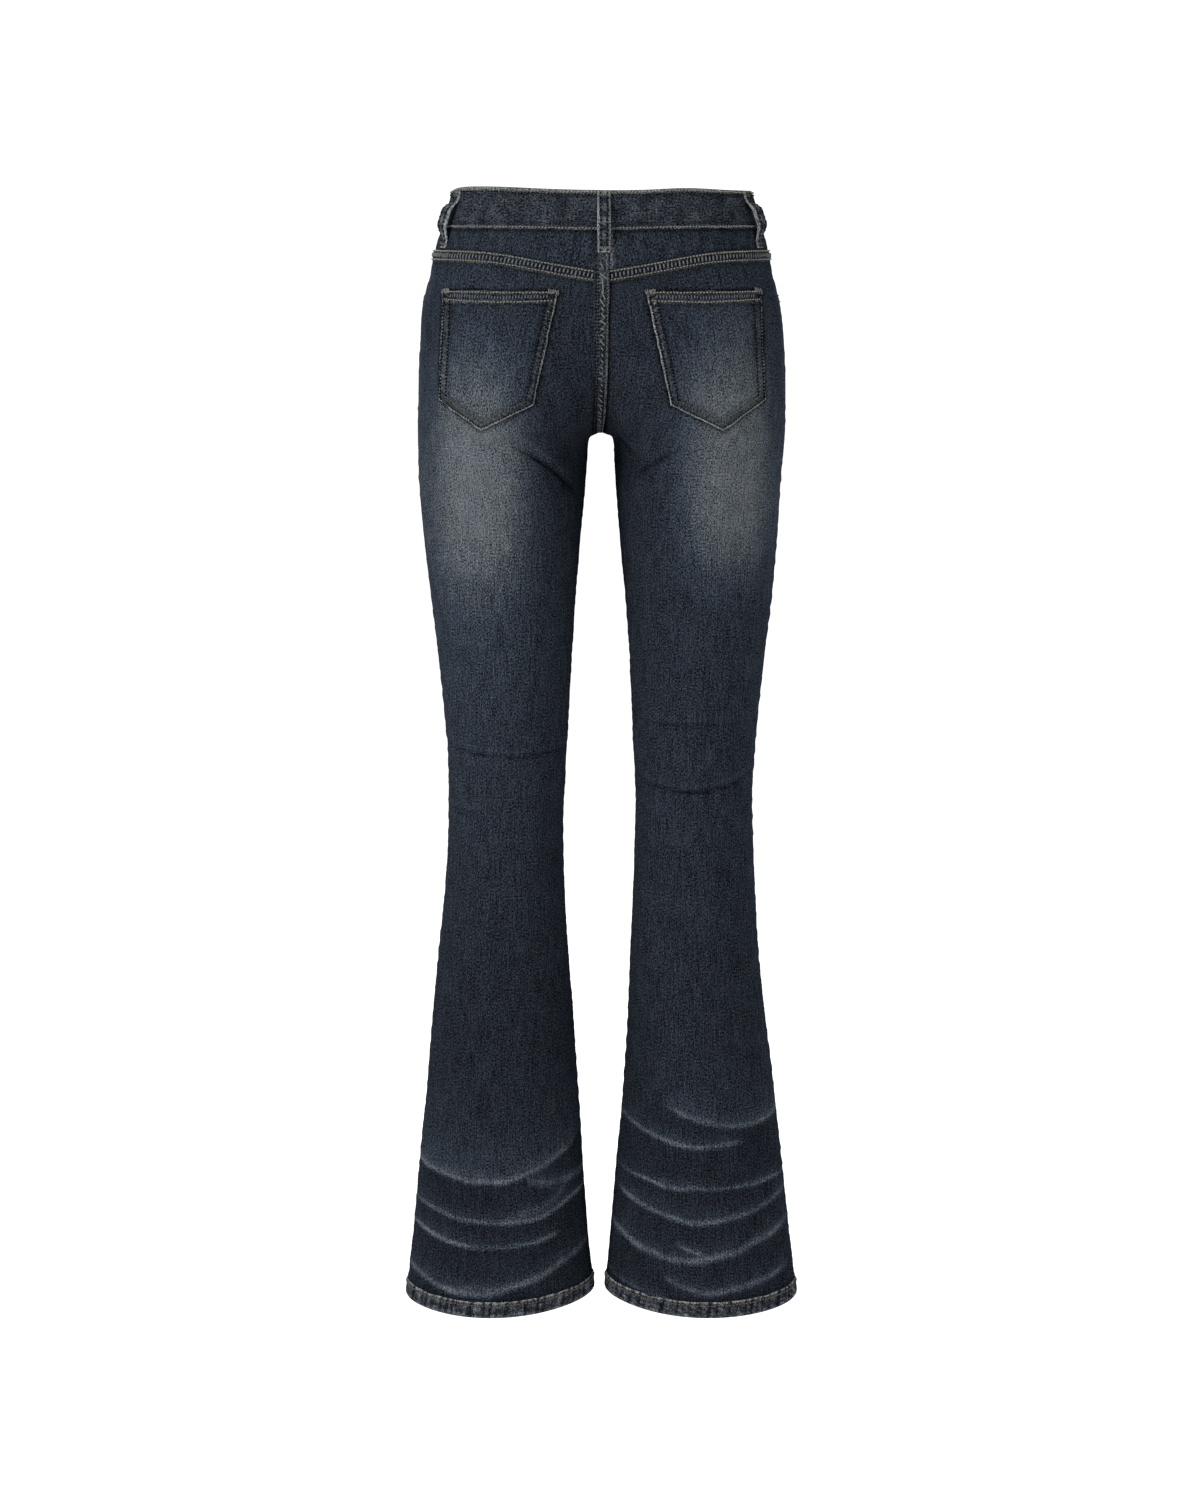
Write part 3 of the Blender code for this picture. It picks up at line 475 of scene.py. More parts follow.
def seat_taper(drop):
    """0 above the pockets, 1 at the crotch."""
    return np.clip((drop - COMMON_DROP) / (RISE - COMMON_DROP), 0, 1)


def seat_angle(side, drop, out):
    """Angle between the centre back and the point this far out from it, for many drops, by halving."""
    low, high = np.zeros(np.shape(drop)), np.full(np.shape(drop), 0.8)
    for _ in range(24):
        middle = (low + high) / 2
        near = np.abs(half_garment(side, 2 * pi - middle, drop)[..., 0]) < out
        low = np.where(near, middle, low)
        high = np.where(near, high, middle)
    return (low + high) / 2


def strip_edge(drop):
    """How far the seat strip's edges lie past the centre line: less toward the crotch."""
    return SEAT_EDGE * (1 - SEAT_EDGE_NARROWS * np.clip(drop / RISE, 0, 1) ** 4)


def seat_shift(drop):
    """Angle by which the lapped edge lies past the centre back."""
    fall = np.clip(drop / RISE, 0, 1)
    past = strip_edge(drop) * np.sqrt(1 - fall**16)
    return np.where(fall < 1, seat_angle(RIGHT, np.minimum(drop, RISE - 1e-4), past), 0)


# ---------------------------------------------------------------- relief, wash and painted shade


def waves(u, v, count, longest, shortest, seed, tilt=0.0, spread=pi):
    """A sum of sine waves of random direction and phase, from -1 to 1 or so: soft uneven cloth."""
    draw = np.random.default_rng(seed)
    total = np.zeros(np.broadcast(u, v).shape)
    for _ in range(count):
        length = shortest * (longest / shortest) ** draw.random()
        way = tilt + (draw.random() - 0.5) * spread
        total += np.sin(2 * pi * (u * cos(way) + v * sin(way)) / length + 2 * pi * draw.random())
    return total / np.sqrt(count)


def roping(along, across, pitch, slant, seed):
    """Diagonal puckers of a twisted seam: sharp-topped waves whose pitch wanders."""
    wander = 0.28 * waves(along, across * 0, 5, pitch * 9, pitch * 3, seed)
    phase = (along + slant * across) / pitch + wander
    wave = 0.5 + 0.5 * np.sin(2 * pi * phase)
    strength = 0.75 + 0.35 * waves(along, across * 0, 4, pitch * 12, pitch * 4, seed + 1)
    return wave**1.5 * strength


def line_sag(out, outer, outer_drop, lowest, lowest_drop, inner, inner_drop):
    """Drop of a rubbed line: a curve from its lowest point up to each end, and 1 within its ends."""
    toward_outer = np.clip((out - lowest) / (outer - lowest), 0, None)
    toward_inner = np.clip((lowest - out) / (lowest - inner), 0, None)
    drop = lowest_drop - (lowest_drop - outer_drop) * toward_outer**1.8
    drop = drop - (lowest_drop - inner_drop) * toward_inner**1.8
    within = ease(1.08, 0.86, toward_outer) * ease(1.08, 0.86, toward_inner)
    return drop, within


def leg_wash_and_painted_light(side, angle, drop, point):
    """How far the dye is worn off, 0 to 1: thigh fades, a pale run down the leg and rubbed lines.
    The lines run on round the leg and lie a little lower in front. Part of the right leg's base
    wear is painted light, for the side away from the key lamp."""
    back = angle > pi
    out = np.abs(point[..., 0]) / MM
    down = drop / MM
    rows = np.array(BASE_WEAR_AND_PAINTED_LIGHT)
    worn = np.interp(down, rows[:, 0], rows[:, 1 if side == LEFT else 2])
    hip = HIP_WEAR[side] * ease(40, 100, down) * ease(380, 240, down)
    worn += bell(angle - pi, 0.50) * (OUTSEAM_WEAR + hip)
    uneven = waves(out * MM, drop, 9, 0.045, 0.012, 5 if side == LEFT else 6)
    for leg, middle, line, inwards, outwards, up, below, strength in THIGH_FADES:
        if leg != side:
            continue
        sideways = np.where(out < middle, (middle - out) / inwards, (out - middle) / outwards)
        along = np.where(down < line, (line - down) / up, (down - line) / below)
        spot = np.exp(-np.abs(sideways) ** 2.6) * np.exp(-np.abs(along) ** 2.3)
        tail = 0.13 * bell(sideways, 1.1) * bell(along, 2.0)
        worn += np.where(back, strength * np.maximum(spot, tail) * (1 + 0.07 * uneven), 0)
    # The front's thigh fade is longer and lies over the middle of the leg.
    middle, reach, line, up, below, strength = FRONT_FADE
    along = np.where(down < line, (line - down) / up, (down - line) / below)
    spot = bell((out - middle) / reach, 1) * bell(along, 1)
    worn += np.where(back, 0, strength * spot * (1 + 0.07 * uneven))
    shift = FRONT_LINES_LOWER * np.where(back, 0, np.sin(angle) ** 2)
    for number, (leg, *places, width, strength) in enumerate(RUBBED_LINES):
        if leg != side:
            continue
        line, within = line_sag(out, *places)
        wander = 0.7 * waves(point[..., 0], drop * 0, 6, 0.07, 0.022, 20 + number)
        across = down - line - shift - wander
        patchy = 1 + 0.22 * waves(point[..., 0], drop, 8, 0.02, 0.006, 40 + number)
        patchy *= 1 + 0.30 * waves(point[..., 0], drop * 0, 4, 0.14, 0.05, 60 + number)
        rub = bell(across, width) + 0.22 * np.where(across < 0, bell(across, 4.5 * width), 0)
        worn += RUB_STRENGTH * strength * within * rub * patchy
        if number in PALE_ABOVE:
            reach, amount = PALE_ABOVE[number]
            outer, _, lowest, _, inner, _ = places
            above = np.where(across < 0, np.exp(across / reach * 2.4), 0) * ease(3, -3, across)
            inner_end = ease(1.3, 0.9, (lowest - out) / (lowest - inner))
            outer_end = ease(1.2, 0.95, (out - lowest) / (outer - lowest))
            worn += amount * above * (inner_end * outer_end)
    return np.clip(worn, 0, 1.2)


def crease_shade(side, angle, drop):
    """Painted shade in the creases: darker along each trough, a painted highlight on the lip above it,
    and painted shade in the hollows."""
    turn = np.degrees(angle)
    shade = np.zeros(np.broadcast(angle, drop).shape)
    for leg, middle, line, half_span, sag, slant, half_width, depth in CREASES:
        if leg != side:
            continue
        along = span_part(turn, middle, half_span)
        across = (drop / MM - line - sag * (1 - along**2) - slant * along) / half_width
        window = np.clip(1 - along**2, 0, 1) * min(1, depth / 2.6)
        # Painted highlight on the lip, painted shade in the trough.
        lip = 0.38 * bell(across + 0.75, 0.36)
        trough = 0.72 * bell(across - 0.05, 0.22)
        shade += window * (lip - trough)
    for leg, middle, line, half_span, half_height, strength in HOLLOWS:
        if leg == side:
            across = span_part(turn, middle, half_span)
            shade -= strength * bell(across, 1) * bell((drop / MM - line) / half_height, 1)
    return shade


def pocket_distance(out, level):
    """Distance from a place on the back to the pocket's outline."""
    corners = np.array([POCKET_TOP_INNER, POCKET_TOP_OUTER, POCKET_LOW_OUTER, POCKET_TIP, POCKET_LOW_INNER])
    spot = np.stack([out, level], -1)
    nearest = np.full(out.shape, 1.0)
    for start, end in zip(corners, np.roll(corners, -1, 0)):
        along = np.clip(((spot - start) @ (end - start)) / ((end - start) @ (end - start)), 0, 1)
        miss = spot - start - along[..., None] * (end - start)
        nearest = np.minimum(nearest, np.hypot(miss[..., 0], miss[..., 1]))
    return nearest


# ---------------------------------------------------------------- meshes


def unit(vectors):
    """The vectors brought to a length of one."""
    return vectors / np.linalg.norm(vectors, axis=-1, keepdims=True)


def grid_faces(number):
    """Corner numbers of a grid's quads."""
    quads = np.stack([number[:-1, :-1], number[1:, :-1], number[1:, 1:], number[:-1, 1:]], -1)
    return quads.reshape(-1, 4)


def close_ring(number):
    """Corner numbers of a grid whose last column is its first again."""
    return np.hstack([number, number[:, :1]])


def cloth_places(outer):
    """Lengths across and down the cloth at each grid point, measured along its rows and columns."""
    rows, columns = outer.shape[:2]
    steps = np.linalg.norm(np.diff(outer, axis=1), axis=-1)
    across = np.concatenate([np.zeros((rows, 1)), np.cumsum(steps, 1)], 1)
    across = across - across[:, columns // 2 : columns // 2 + 1]
    steps = np.linalg.norm(np.diff(outer, axis=0), axis=-1).mean(1)
    down = np.concatenate([[0], np.cumsum(steps)])[:, None] + np.zeros((1, columns))
    return np.stack([across, -down], -1)


def finish_piece(piece, node=None):
    """Fixes a piece to the body and hides the solids that it stands for."""
    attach(piece, "root")
    if node:
        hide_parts(*([node] if isinstance(node, str) else node))
    return piece


def make_mesh(name, points, quads, triangles=None, smooth=True):
    """A mesh from whole arrays of points and faces."""
    mesh = bpy.data.meshes.new(name)
    triangles = np.zeros((0, 3), int) if triangles is None else triangles
    corners = np.concatenate([quads.ravel(), triangles.ravel()]).astype(np.int32)
    sizes = np.concatenate([np.full(len(quads), 4), np.full(len(triangles), 3)])
    starts = np.concatenate([[0], np.cumsum(sizes)[:-1]]).astype(np.int32)
    mesh.vertices.add(len(points))
    mesh.vertices.foreach_set("co", points.astype(np.float32).ravel())
    mesh.loops.add(len(corners))
    mesh.loops.foreach_set("vertex_index", corners)
    mesh.polygons.add(len(sizes))
    mesh.polygons.foreach_set("loop_start", starts)
    mesh.polygons.foreach_set("use_smooth", np.full(len(sizes), smooth))
    mesh.update(calc_edges=True)
    mesh.validate()
    piece = bpy.data.objects.new(name, mesh)
    bpy.context.scene.collection.objects.link(piece)
    return piece


def add_uv(mesh, places):
    """A UV map with one place, in metres of cloth, for each point of the mesh. Each piece starts
    from its own place, as if cut from another part of the cloth."""
    layer = mesh.uv_layers.new(name="cloth")
    places = places + np.array([0.731, 0.417]) * len(bpy.data.meshes)
    index = np.empty(len(mesh.loops), np.int32)
    mesh.loops.foreach_get("vertex_index", index)
    layer.data.foreach_set("uv", places[index].astype(np.float32).ravel())


def add_wash_and_shade(mesh, worn, rubbed, shade):
    """The wash and painted shade as an attribute: red for worn dye, green for rubbed edges, blue for
    painted shade, below 1 where shade is painted and above 1 where a highlight is painted.
    """
    colour = mesh.attributes.new("wash_and_shade", "FLOAT_COLOR", "POINT")
    values = np.stack([worn, rubbed, shade, np.ones_like(worn)], -1)
    colour.data.foreach_set("color", values.astype(np.float32).ravel())


def cloth_piece(name, outer, inner, materials, worn=0.0, rubbed=0.0, shade=1.0, ring=False, flip=False):
    """A closed shell of cloth between an outer and an inner grid. A ring closes on itself sideways.
    The inner face has the cloth's reverse, and `flip` turns the faces round for a mirrored grid."""
    rows, columns = outer.shape[:2]
    number = np.arange(rows * columns).reshape(rows, columns)
    if ring:
        number = close_ring(number)
    under = number + rows * columns
    face = grid_faces(number)
    reverse = grid_faces(under)[:, ::-1]
    rims = [(number[0], under[0]), (number[-1][::-1], under[-1][::-1])]
    if not ring:
        rims += [(number[::-1, 0], under[::-1, 0]), (number[:, -1], under[:, -1])]
    edge = np.concatenate([np.stack([a[:-1], a[1:], b[1:], b[:-1]], -1) for a, b in rims])
    quads = np.concatenate([face, edge, reverse])
    if flip:
        quads = quads[:, ::-1]
    points = np.concatenate([outer.reshape(-1, 3), inner.reshape(-1, 3)])
    piece = make_mesh(name, points, quads)
    mesh = piece.data
    for material in materials:
        mesh.materials.append(material)
    slots = np.zeros(len(mesh.polygons), np.int32)
    slots[len(face) + len(edge) :] = 1
    mesh.polygons.foreach_set("material_index", slots)
    places = cloth_places(outer).reshape(-1, 2)
    add_uv(mesh, np.concatenate([places, places]))
    wash_and_shade = [np.asarray(value, float) for value in (worn, rubbed, shade)]
    spread = [np.broadcast_to(value, (rows, columns)).ravel() for value in wash_and_shade]
    add_wash_and_shade(mesh, *[np.concatenate([value, value]) for value in spread])
    return piece


# ---------------------------------------------------------------- materials


class Socket:
    """A shader value that takes part in Python expressions; each operator adds a Math node."""

    def __init__(self, shader, socket):
        self.shader = shader
        self.socket = socket

    def math(self, operation, *values):
        return self.shader.node("ShaderNodeMath", {"operation": operation}, [self, *values])

    def __add__(self, other):
        return self.math("ADD", other)

    def __mul__(self, other):
        return self.math("MULTIPLY", other)

    def __sub__(self, other):
        return self.math("SUBTRACT", other)

    def __truediv__(self, other):
        return self.math("DIVIDE", other)

    def __rsub__(self, other):
        return self.shader.node("ShaderNodeMath", {"operation": "SUBTRACT"}, [other, self])

    __radd__ = __add__
    __rmul__ = __mul__

    def limited(self):
        return self.shader.node("ShaderNodeMath", {"operation": "ADD", "use_clamp": True}, [self, 0.0])

    def part(self, low, high, smooth=False):
        """0 at low, 1 at high, and straight or a smooth S between."""
        settings = {"interpolation_type": "SMOOTHSTEP" if smooth else "LINEAR"}
        return self.shader.node("ShaderNodeMapRange", settings, [self, low, high, 0.0, 1.0])


class Shader:
    """A material's nodes. One method adds any node from its type, settings and socket values."""

    def __init__(self, name, roughness, **constants):
        self.material = bpy.data.materials.new(name)
        self.material.use_nodes = True
        self.tree = self.material.node_tree
        self.surface = self.tree.nodes["Principled BSDF"]
        self.surface.inputs["Roughness"].default_value = roughness
        for socket, value in constants.items():
            self.surface.inputs[socket.replace("_", " ")].default_value = value

    def node(self, kind, settings, values, output=0):
        node = self.tree.nodes.new(kind)
        for setting, value in settings.items():
            setattr(node, setting, value)
        pairs = values.items() if isinstance(values, dict) else enumerate(values)
        for socket, value in pairs:
            if isinstance(value, Socket):
                self.tree.links.new(value.socket, node.inputs[socket])
            else:
                node.inputs[socket].default_value = value
        return Socket(self, node.outputs[output])

    def cloth_place(self, across, down):
        """The cloth's own place, stretched so that one unit is this many metres each way."""
        place = self.node("ShaderNodeUVMap", {"uv_map": "cloth"}, [])
        return self.node("ShaderNodeMapping", {}, {0: place, 3: (1 / across, 1 / down, 1)})

    def noise(self, place, detail=2.0, scale=1.0):
        values = {"Vector": place, "Scale": scale, "Detail": detail, "Roughness": 0.55}
        return self.node("ShaderNodeTexNoise", {}, values)

    def wash_and_shade(self):
        """The three numbers of the attribute: worn dye, rubbed edges and painted shade."""
        colour = self.node("ShaderNodeAttribute", {"attribute_name": "wash_and_shade"}, [])
        split = self.tree.nodes.new("ShaderNodeSeparateColor")
        self.tree.links.new(colour.socket, split.inputs[0])
        return [Socket(self, split.outputs[number]) for number in range(3)]

    def mix(self, part, first, second):
        """Between two colours, each a linked colour or three numbers."""
        full = [value if isinstance(value, Socket) else (*value, 1.0) for value in (first, second)]
        settings = {"data_type": "RGBA", "blend_type": "MIX"}
        return self.node("ShaderNodeMix", settings, {0: part, 6: full[0], 7: full[1]}, 2)

    def scaled(self, colour, amount):
        """A colour times a number."""
        full = colour if isinstance(colour, Socket) else (*colour, 1.0)
        grey = self.node("ShaderNodeCombineColor", {}, [amount, amount, amount])
        settings = {"data_type": "RGBA", "blend_type": "MULTIPLY"}
        return self.node("ShaderNodeMix", settings, {0: 1.0, 6: full, 7: grey}, 2)

    def link(self, value, socket):
        self.tree.links.new(value.socket, self.surface.inputs[socket])

    def bump(self, height, distance, strength=1.0):
        values = {"Strength": strength, "Distance": distance, "Height": height}
        self.link(self.node("ShaderNodeBump", {}, values), "Normal")


def denim_material(
    name,
    grain_size=(0.0012, 0.0017),
    slub_size=(0.0011, 0.0130),
    cloud_size=(0.016, 0.022),
    tint=(1.0, 1.0, 1.0),
):
    """Washed denim: grains and slubs of darker and paler thread over the dye, paler where the attribute's
    worn and rubbed numbers say, in grains rather than evenly, then darkened or lightened by its
    painted shade, and a twill too fine to see from afar in the bump."""
    shader = Shader(name, 0.92, Specular_IOR_Level=0.0)
    worn, rubbed, shade = shader.wash_and_shade()
    grain = shader.noise(shader.cloth_place(*grain_size), 2.0)
    slub = shader.noise(shader.cloth_place(*slub_size), 2.0)
    long_slub = shader.noise(shader.cloth_place(*LONG_SLUB_SIZE), 2.0)
    cloud = shader.noise(shader.cloth_place(*cloud_size), 3.0)
    texture = 6.8 * (grain - 0.5) + 1.8 * (slub - 0.5)
    texture = texture + 1.7 * (long_slub - 0.5) + 0.8 * (cloud - 0.5)
    bare = (worn + (worn * 0.20 + 0.02) * texture).limited()
    dyed, half_worn = np.multiply(INDIGO, tint), np.multiply(HALF_WORN, tint)
    cloth = shader.mix(bare.part(0, HALF_WORN_AT), dyed, half_worn)
    cloth = shader.mix(bare.part(HALF_WORN_AT, 1), cloth, WORN)
    patch = (rubbed * (1 + 2.2 * (grain - 0.5) + 1.6 * (cloud - 0.5))).limited()
    cloth = shader.mix(patch, cloth, RUBBED_BARE)
    strength = 1 + texture * (1 - 0.38 * bare)
    # The attribute's painted shade darkens creases, grooves and shadows, and lightens the creases' lips.
    cloth = shader.scaled(cloth, strength.math("MAXIMUM", 0.18) * shade)
    shader.link(cloth, "Base Color")
    place = shader.node("ShaderNodeUVMap", {"uv_map": "cloth"}, [])
    values = {"Vector": place, "Scale": TWILL_SCALE, "Distortion": 0.6, "Detail": 1.0}
    settings = {"wave_type": "BANDS", "bands_direction": "DIAGONAL"}
    twill = shader.node("ShaderNodeTexWave", settings, values)
    shader.bump(0.45 * twill + 0.9 * slub + 0.8 * grain, 0.00022, 0.6)
    return shader.material


def reverse_material():
    """The denim's inside, mostly undyed thread: pale grey-blue with the twill's dark flecks."""
    shader = Shader("denim_reverse", 0.92, Specular_IOR_Level=0.0)
    slub = shader.noise(shader.cloth_place(0.0013, 0.0120), 3.0)
    grain = shader.noise(shader.cloth_place(0.0014, 0.0014), 2.0)
    texture = 1 + 0.55 * (slub - 0.5) + 0.75 * (grain - 0.5)
    shader.link(shader.scaled(REVERSE, texture), "Base Color")
    shader.bump(slub + grain, 0.0002, 0.6)
    return shader.material


def thread_material(name, colour, roughness=0.8, shine=0.12):
    """Sewing thread, rubbed paler and darker along its length."""
    shader = Shader(name, roughness, Specular_IOR_Level=shine)
    place = shader.node("ShaderNodeTexCoord", {}, [], 3)
    blotch = shader.noise(place, 3.0, 330.0)
    fine = shader.noise(place, 2.0, 1500.0)
    shader.link(shader.scaled(colour, 0.35 + 0.9 * blotch + 0.4 * fine), "Base Color")
    shader.bump(fine, 0.0001, 0.5)
    return shader.material


def metal_material(name, colour, worn_colour):
    """Aged brass: darker and brighter in random blotches, the brighter ones smoother, as where it is rubbed.
    """
    shader = Shader(name, 0.4, Metallic=1.0)
    place = shader.node("ShaderNodeTexCoord", {}, [], 3)
    blotch = shader.noise(place, 4.0, 420.0)
    mask = blotch.part(0.42, 0.62, smooth=True)
    shader.link(shader.mix(mask, colour, worn_colour), "Base Color")
    shader.link(0.50 - 0.18 * mask, "Roughness")
    shader.bump(blotch, 0.00015, 0.4)
    return shader.material


def tape_material():
    """Woven zip tape, dark, with fine cross ribs."""
    shader = Shader("zip_tape", 0.85, Specular_IOR_Level=0.12)
    place = shader.node("ShaderNodeTexCoord", {}, [], 3)
    settings = {"wave_type": "BANDS", "bands_direction": "Z"}
    ribs = shader.node("ShaderNodeTexWave", settings, {"Vector": place, "Scale": 420.0})
    fine = shader.noise(place, 2.0, 900.0)
    shader.link(shader.scaled((0.010, 0.012, 0.016), 0.6 + 0.5 * ribs + 0.5 * fine), "Base Color")
    shader.bump(ribs, 0.0002, 0.7)
    return shader.material


DENIM_FACE = denim_material("denim_face")
BAND_SIZES = ((0.0018, 0.0014), (0.0080, 0.0016), (0.026, 0.008))
BAND_FACE = denim_material("denim_across", *BAND_SIZES, tint=(1.03, 0.97, 0.90))
DENIM_REVERSE = reverse_material()
CLOTH = (DENIM_FACE, DENIM_REVERSE)
BAND_CLOTHS = (BAND_FACE, DENIM_REVERSE)
GOLD = thread_material("gold_thread", GOLD_THREAD)
TAN = thread_material("tan_thread", TAN_THREAD)
OLIVE = thread_material("olive_thread", OLIVE_THREAD)
DARK = thread_material("dark_thread", DARK_THREAD, 0.9, 0.0)
RUST = thread_material("rust_thread", RUST_THREAD)
BROWN = thread_material("brown_thread", BROWN_THREAD)
RIB = thread_material("ribbed_cloth", RIB_CLOTH, 0.9, 0.0)
STREAK = thread_material("streaked_cloth", STREAK_CLOTH, 0.9, 0.0)
BRASS = metal_material("aged_brass", (0.11, 0.07, 0.04), (0.30, 0.22, 0.13))
TAPE = tape_material()


def cloth_node(node, ending, outer, inner, wash_and_shade, flat, area=None, cloths=CLOTH, **shape):
    """A cloth piece that stands for one solid. The flat size and area are not used."""
    piece = cloth_piece(f"{node}_{ending}", outer, inner, cloths, *wash_and_shade, **shape)
    finish_piece(piece, node)


def denim_panel(kind, side, angle, drop, base, relief, wash_and_shade, flat, area):
    """A panel of denim: the relief moves its outer face, and its wall goes inwards."""
    normal = normals(side, angle, drop)
    outer = base + normal * relief[..., None]
    inner = base - normal * DENIM
    node = f"{kind}_{SIDE_NAME[side]}"
    cloth_node(node, "panel", outer, inner, wash_and_shade, flat, area, flip=side == RIGHT)


# ---------------------------------------------------------------- sewing


def resample(points, outs, pitch):
    """Points, directions and normals at an even pitch along a path."""
    steps = np.linalg.norm(np.diff(points, axis=0), axis=1)
    length = np.concatenate([[0], np.cumsum(steps)])
    count = max(2, int(length[-1] / pitch))
    at = (np.arange(count) + 0.5) * length[-1] / count
    place = np.stack([np.interp(at, length, points[:, axis]) for axis in range(3)], -1)
    out = unit(np.stack([np.interp(at, length, outs[:, axis]) for axis in range(3)], -1))
    ahead = np.stack([np.interp(at + 2e-4, length, points[:, axis]) for axis in range(3)], -1)
    behind = np.stack([np.interp(at - 2e-4, length, points[:, axis]) for axis in range(3)], -1)
    return place, unit(ahead - behind), out


def stitches(name, paths, material, length=0.0019, thick=0.0008, pitch=THREAD_PITCH, skew=0.0, uneven=0.0):
    """Rows of sewn thread. Each stitch is a spindle: five rings of five points along it, with an
    arched centreline that dips into the cloth at both ends and a radius that narrows there. `skew`
    turns the stitches across their row, and `uneven` draws them a little out of line."""
    rings = np.array([-1.0, -0.62, 0.0, 0.62, 1.0])
    sides = 5
    turn = 2 * pi * np.arange(sides) / sides
    radius = thick / 2 * np.array([0.35, 0.92, 1.0, 0.92, 0.35])
    height = thick * np.array([-0.55, 0.05, 0.28, 0.05, -0.55])
    places = [resample(points, outs, pitch) for points, outs in paths]
    place, way, out = [np.concatenate(parts) for parts in zip(*places)]
    across = unit(np.cross(out, way))
    random = uneven * (np.random.default_rng(len(name)).random((len(place), 3)) - 0.5)
    place = place + across * random[:, :1] * thick
    way = unit(way + across * (skew + 1.5 * random[:, 1:2]))
    across = unit(np.cross(out, way))
    along = rings[:, None] * length / 2 + 0 * turn
    sideways = radius[:, None] * np.cos(turn)
    upwards = height[:, None] + radius[:, None] * np.sin(turn)
    longer = (1 + random[:, 2])[:, None, None, None]
    points = place[:, None, None] + way[:, None, None] * along[..., None] * longer
    points = points + across[:, None, None] * sideways[..., None]
    points = points + out[:, None, None] * upwards[..., None]
    size = len(rings) * sides
    template = close_ring(np.arange(size).reshape(len(rings), sides))
    quads = grid_faces(template)
    ends = (template[0, :-1], template[-1, :-1][::-1])
    offsets = np.arange(len(place))[:, None, None] * size
    quads = (quads[None] + offsets).reshape(-1, 4)
    fans = np.concatenate([np.stack([end[[0] * 3], end[1:4], end[2:5]], -1) for end in ends])
    fans = (fans[None] + offsets).reshape(-1, 3)
    piece = make_mesh(name, points.reshape(-1, 3), quads, fans)
    piece.data.materials.append(material)
    return finish_piece(piece)


def path_on(side, angle, drop, lift):
    """A path along the cloth, lifted off it."""
    out = normals(side, angle, drop)
    return surface(side, angle, drop) + out * lift, out


def bartack(place, way, out, width, height):
    """Paths of a bartack: close zigzag threads across a short bar."""
    across = unit(np.cross(out, way))
    count = max(4, int(width / 0.0009))
    at = (np.arange(count) / (count - 1) - 0.5) * width
    lean = 0.0003 * np.where(np.arange(count) % 2, 1, -1)
    paths = []
    for shift, tilt in zip(at, lean):
        leaning = way * (shift + np.array([-1, 1])[:, None] * tilt)
        ends = np.array([-0.5, 0.5])[:, None] * height * across + leaning
        paths.append((place + ends, np.stack([out, out])))
    return paths


# ---------------------------------------------------------------- leg panels


def even_ends(count, crowd=0.055):
    """Numbers from 0 to 1, closer together near both ends."""
    part = np.linspace(0, 1, count)
    return part - crowd * np.sin(2 * pi * part)


def leg_drops(seat_rows=38):
    """Rows below the yoke: fine over the seat and the rubbed lines, wider between."""
    seat = np.linspace(COMMON_DROP, 0.200, seat_rows)[:-1]
    crotch = RISE - (RISE - 0.200) * (1 - np.linspace(0, 1, 11)[:-1]) ** 1.6
    past = RISE + np.array([0, 0.0008, 0.0018, 0.003, 0.0045, 0.0065, 0.009, 0.012, 0.0155, 0.019])
    thigh = np.linspace(0.241, 0.830, 186)[:-1]
    flare = np.linspace(0.830, LENGTH - HEM_HEIGHT + 0.001, 98)
    return np.concatenate([seat, crotch, past, thigh, flare])


def panel_drops(edge, drops, crowd):
    """Drops of a panel's grid: rows from its top edge to the common drop, then its level rows."""
    rows = edge + (COMMON_DROP - edge) * np.linspace(0, 1, TOP_ROWS + 1)[:-1, None] ** crowd
    return np.vstack([rows, np.broadcast_to(drops[:, None], (len(drops), len(edge)))])


def hem_shadow(drop):
    """A painted shadow: the dark line just above where the hem's ring starts."""
    return 0.40 * bell(drop - (LENGTH - HEM_HEIGHT - 0.0014), 0.0016)


def seam_relief(from_seam, along, seed):
    """The cloth near a plain seam: a groove in the seam and small puckers beside it."""
    groove = -SEAM_GROOVE * bell(from_seam, 0.0016)
    pucker = SEAM_PUCKER * waves(along, from_seam * 0, 5, 0.016, 0.007, seed)
    return groove + pucker * bell(from_seam - 0.005, 0.005)


def cloth_relief(side, angle, drop, places):
    """Small unevenness of the worn cloth: upright drape lines and faint cross ripples at the knee."""
    seed = 100 if side == LEFT else 200
    drape = 0.00028 * waves(places[..., 0], places[..., 1], 9, 0.060, 0.020, seed, 0.0, 0.5)
    ripple = 0.00015 * waves(places[..., 0], places[..., 1], 9, 0.045, 0.015, seed + 1, pi / 2, 0.5)
    behind_knee = bell(drop - 0.520, 0.060) + 0.8 * bell(drop - 0.245, 0.035)
    return drape + ripple * behind_knee


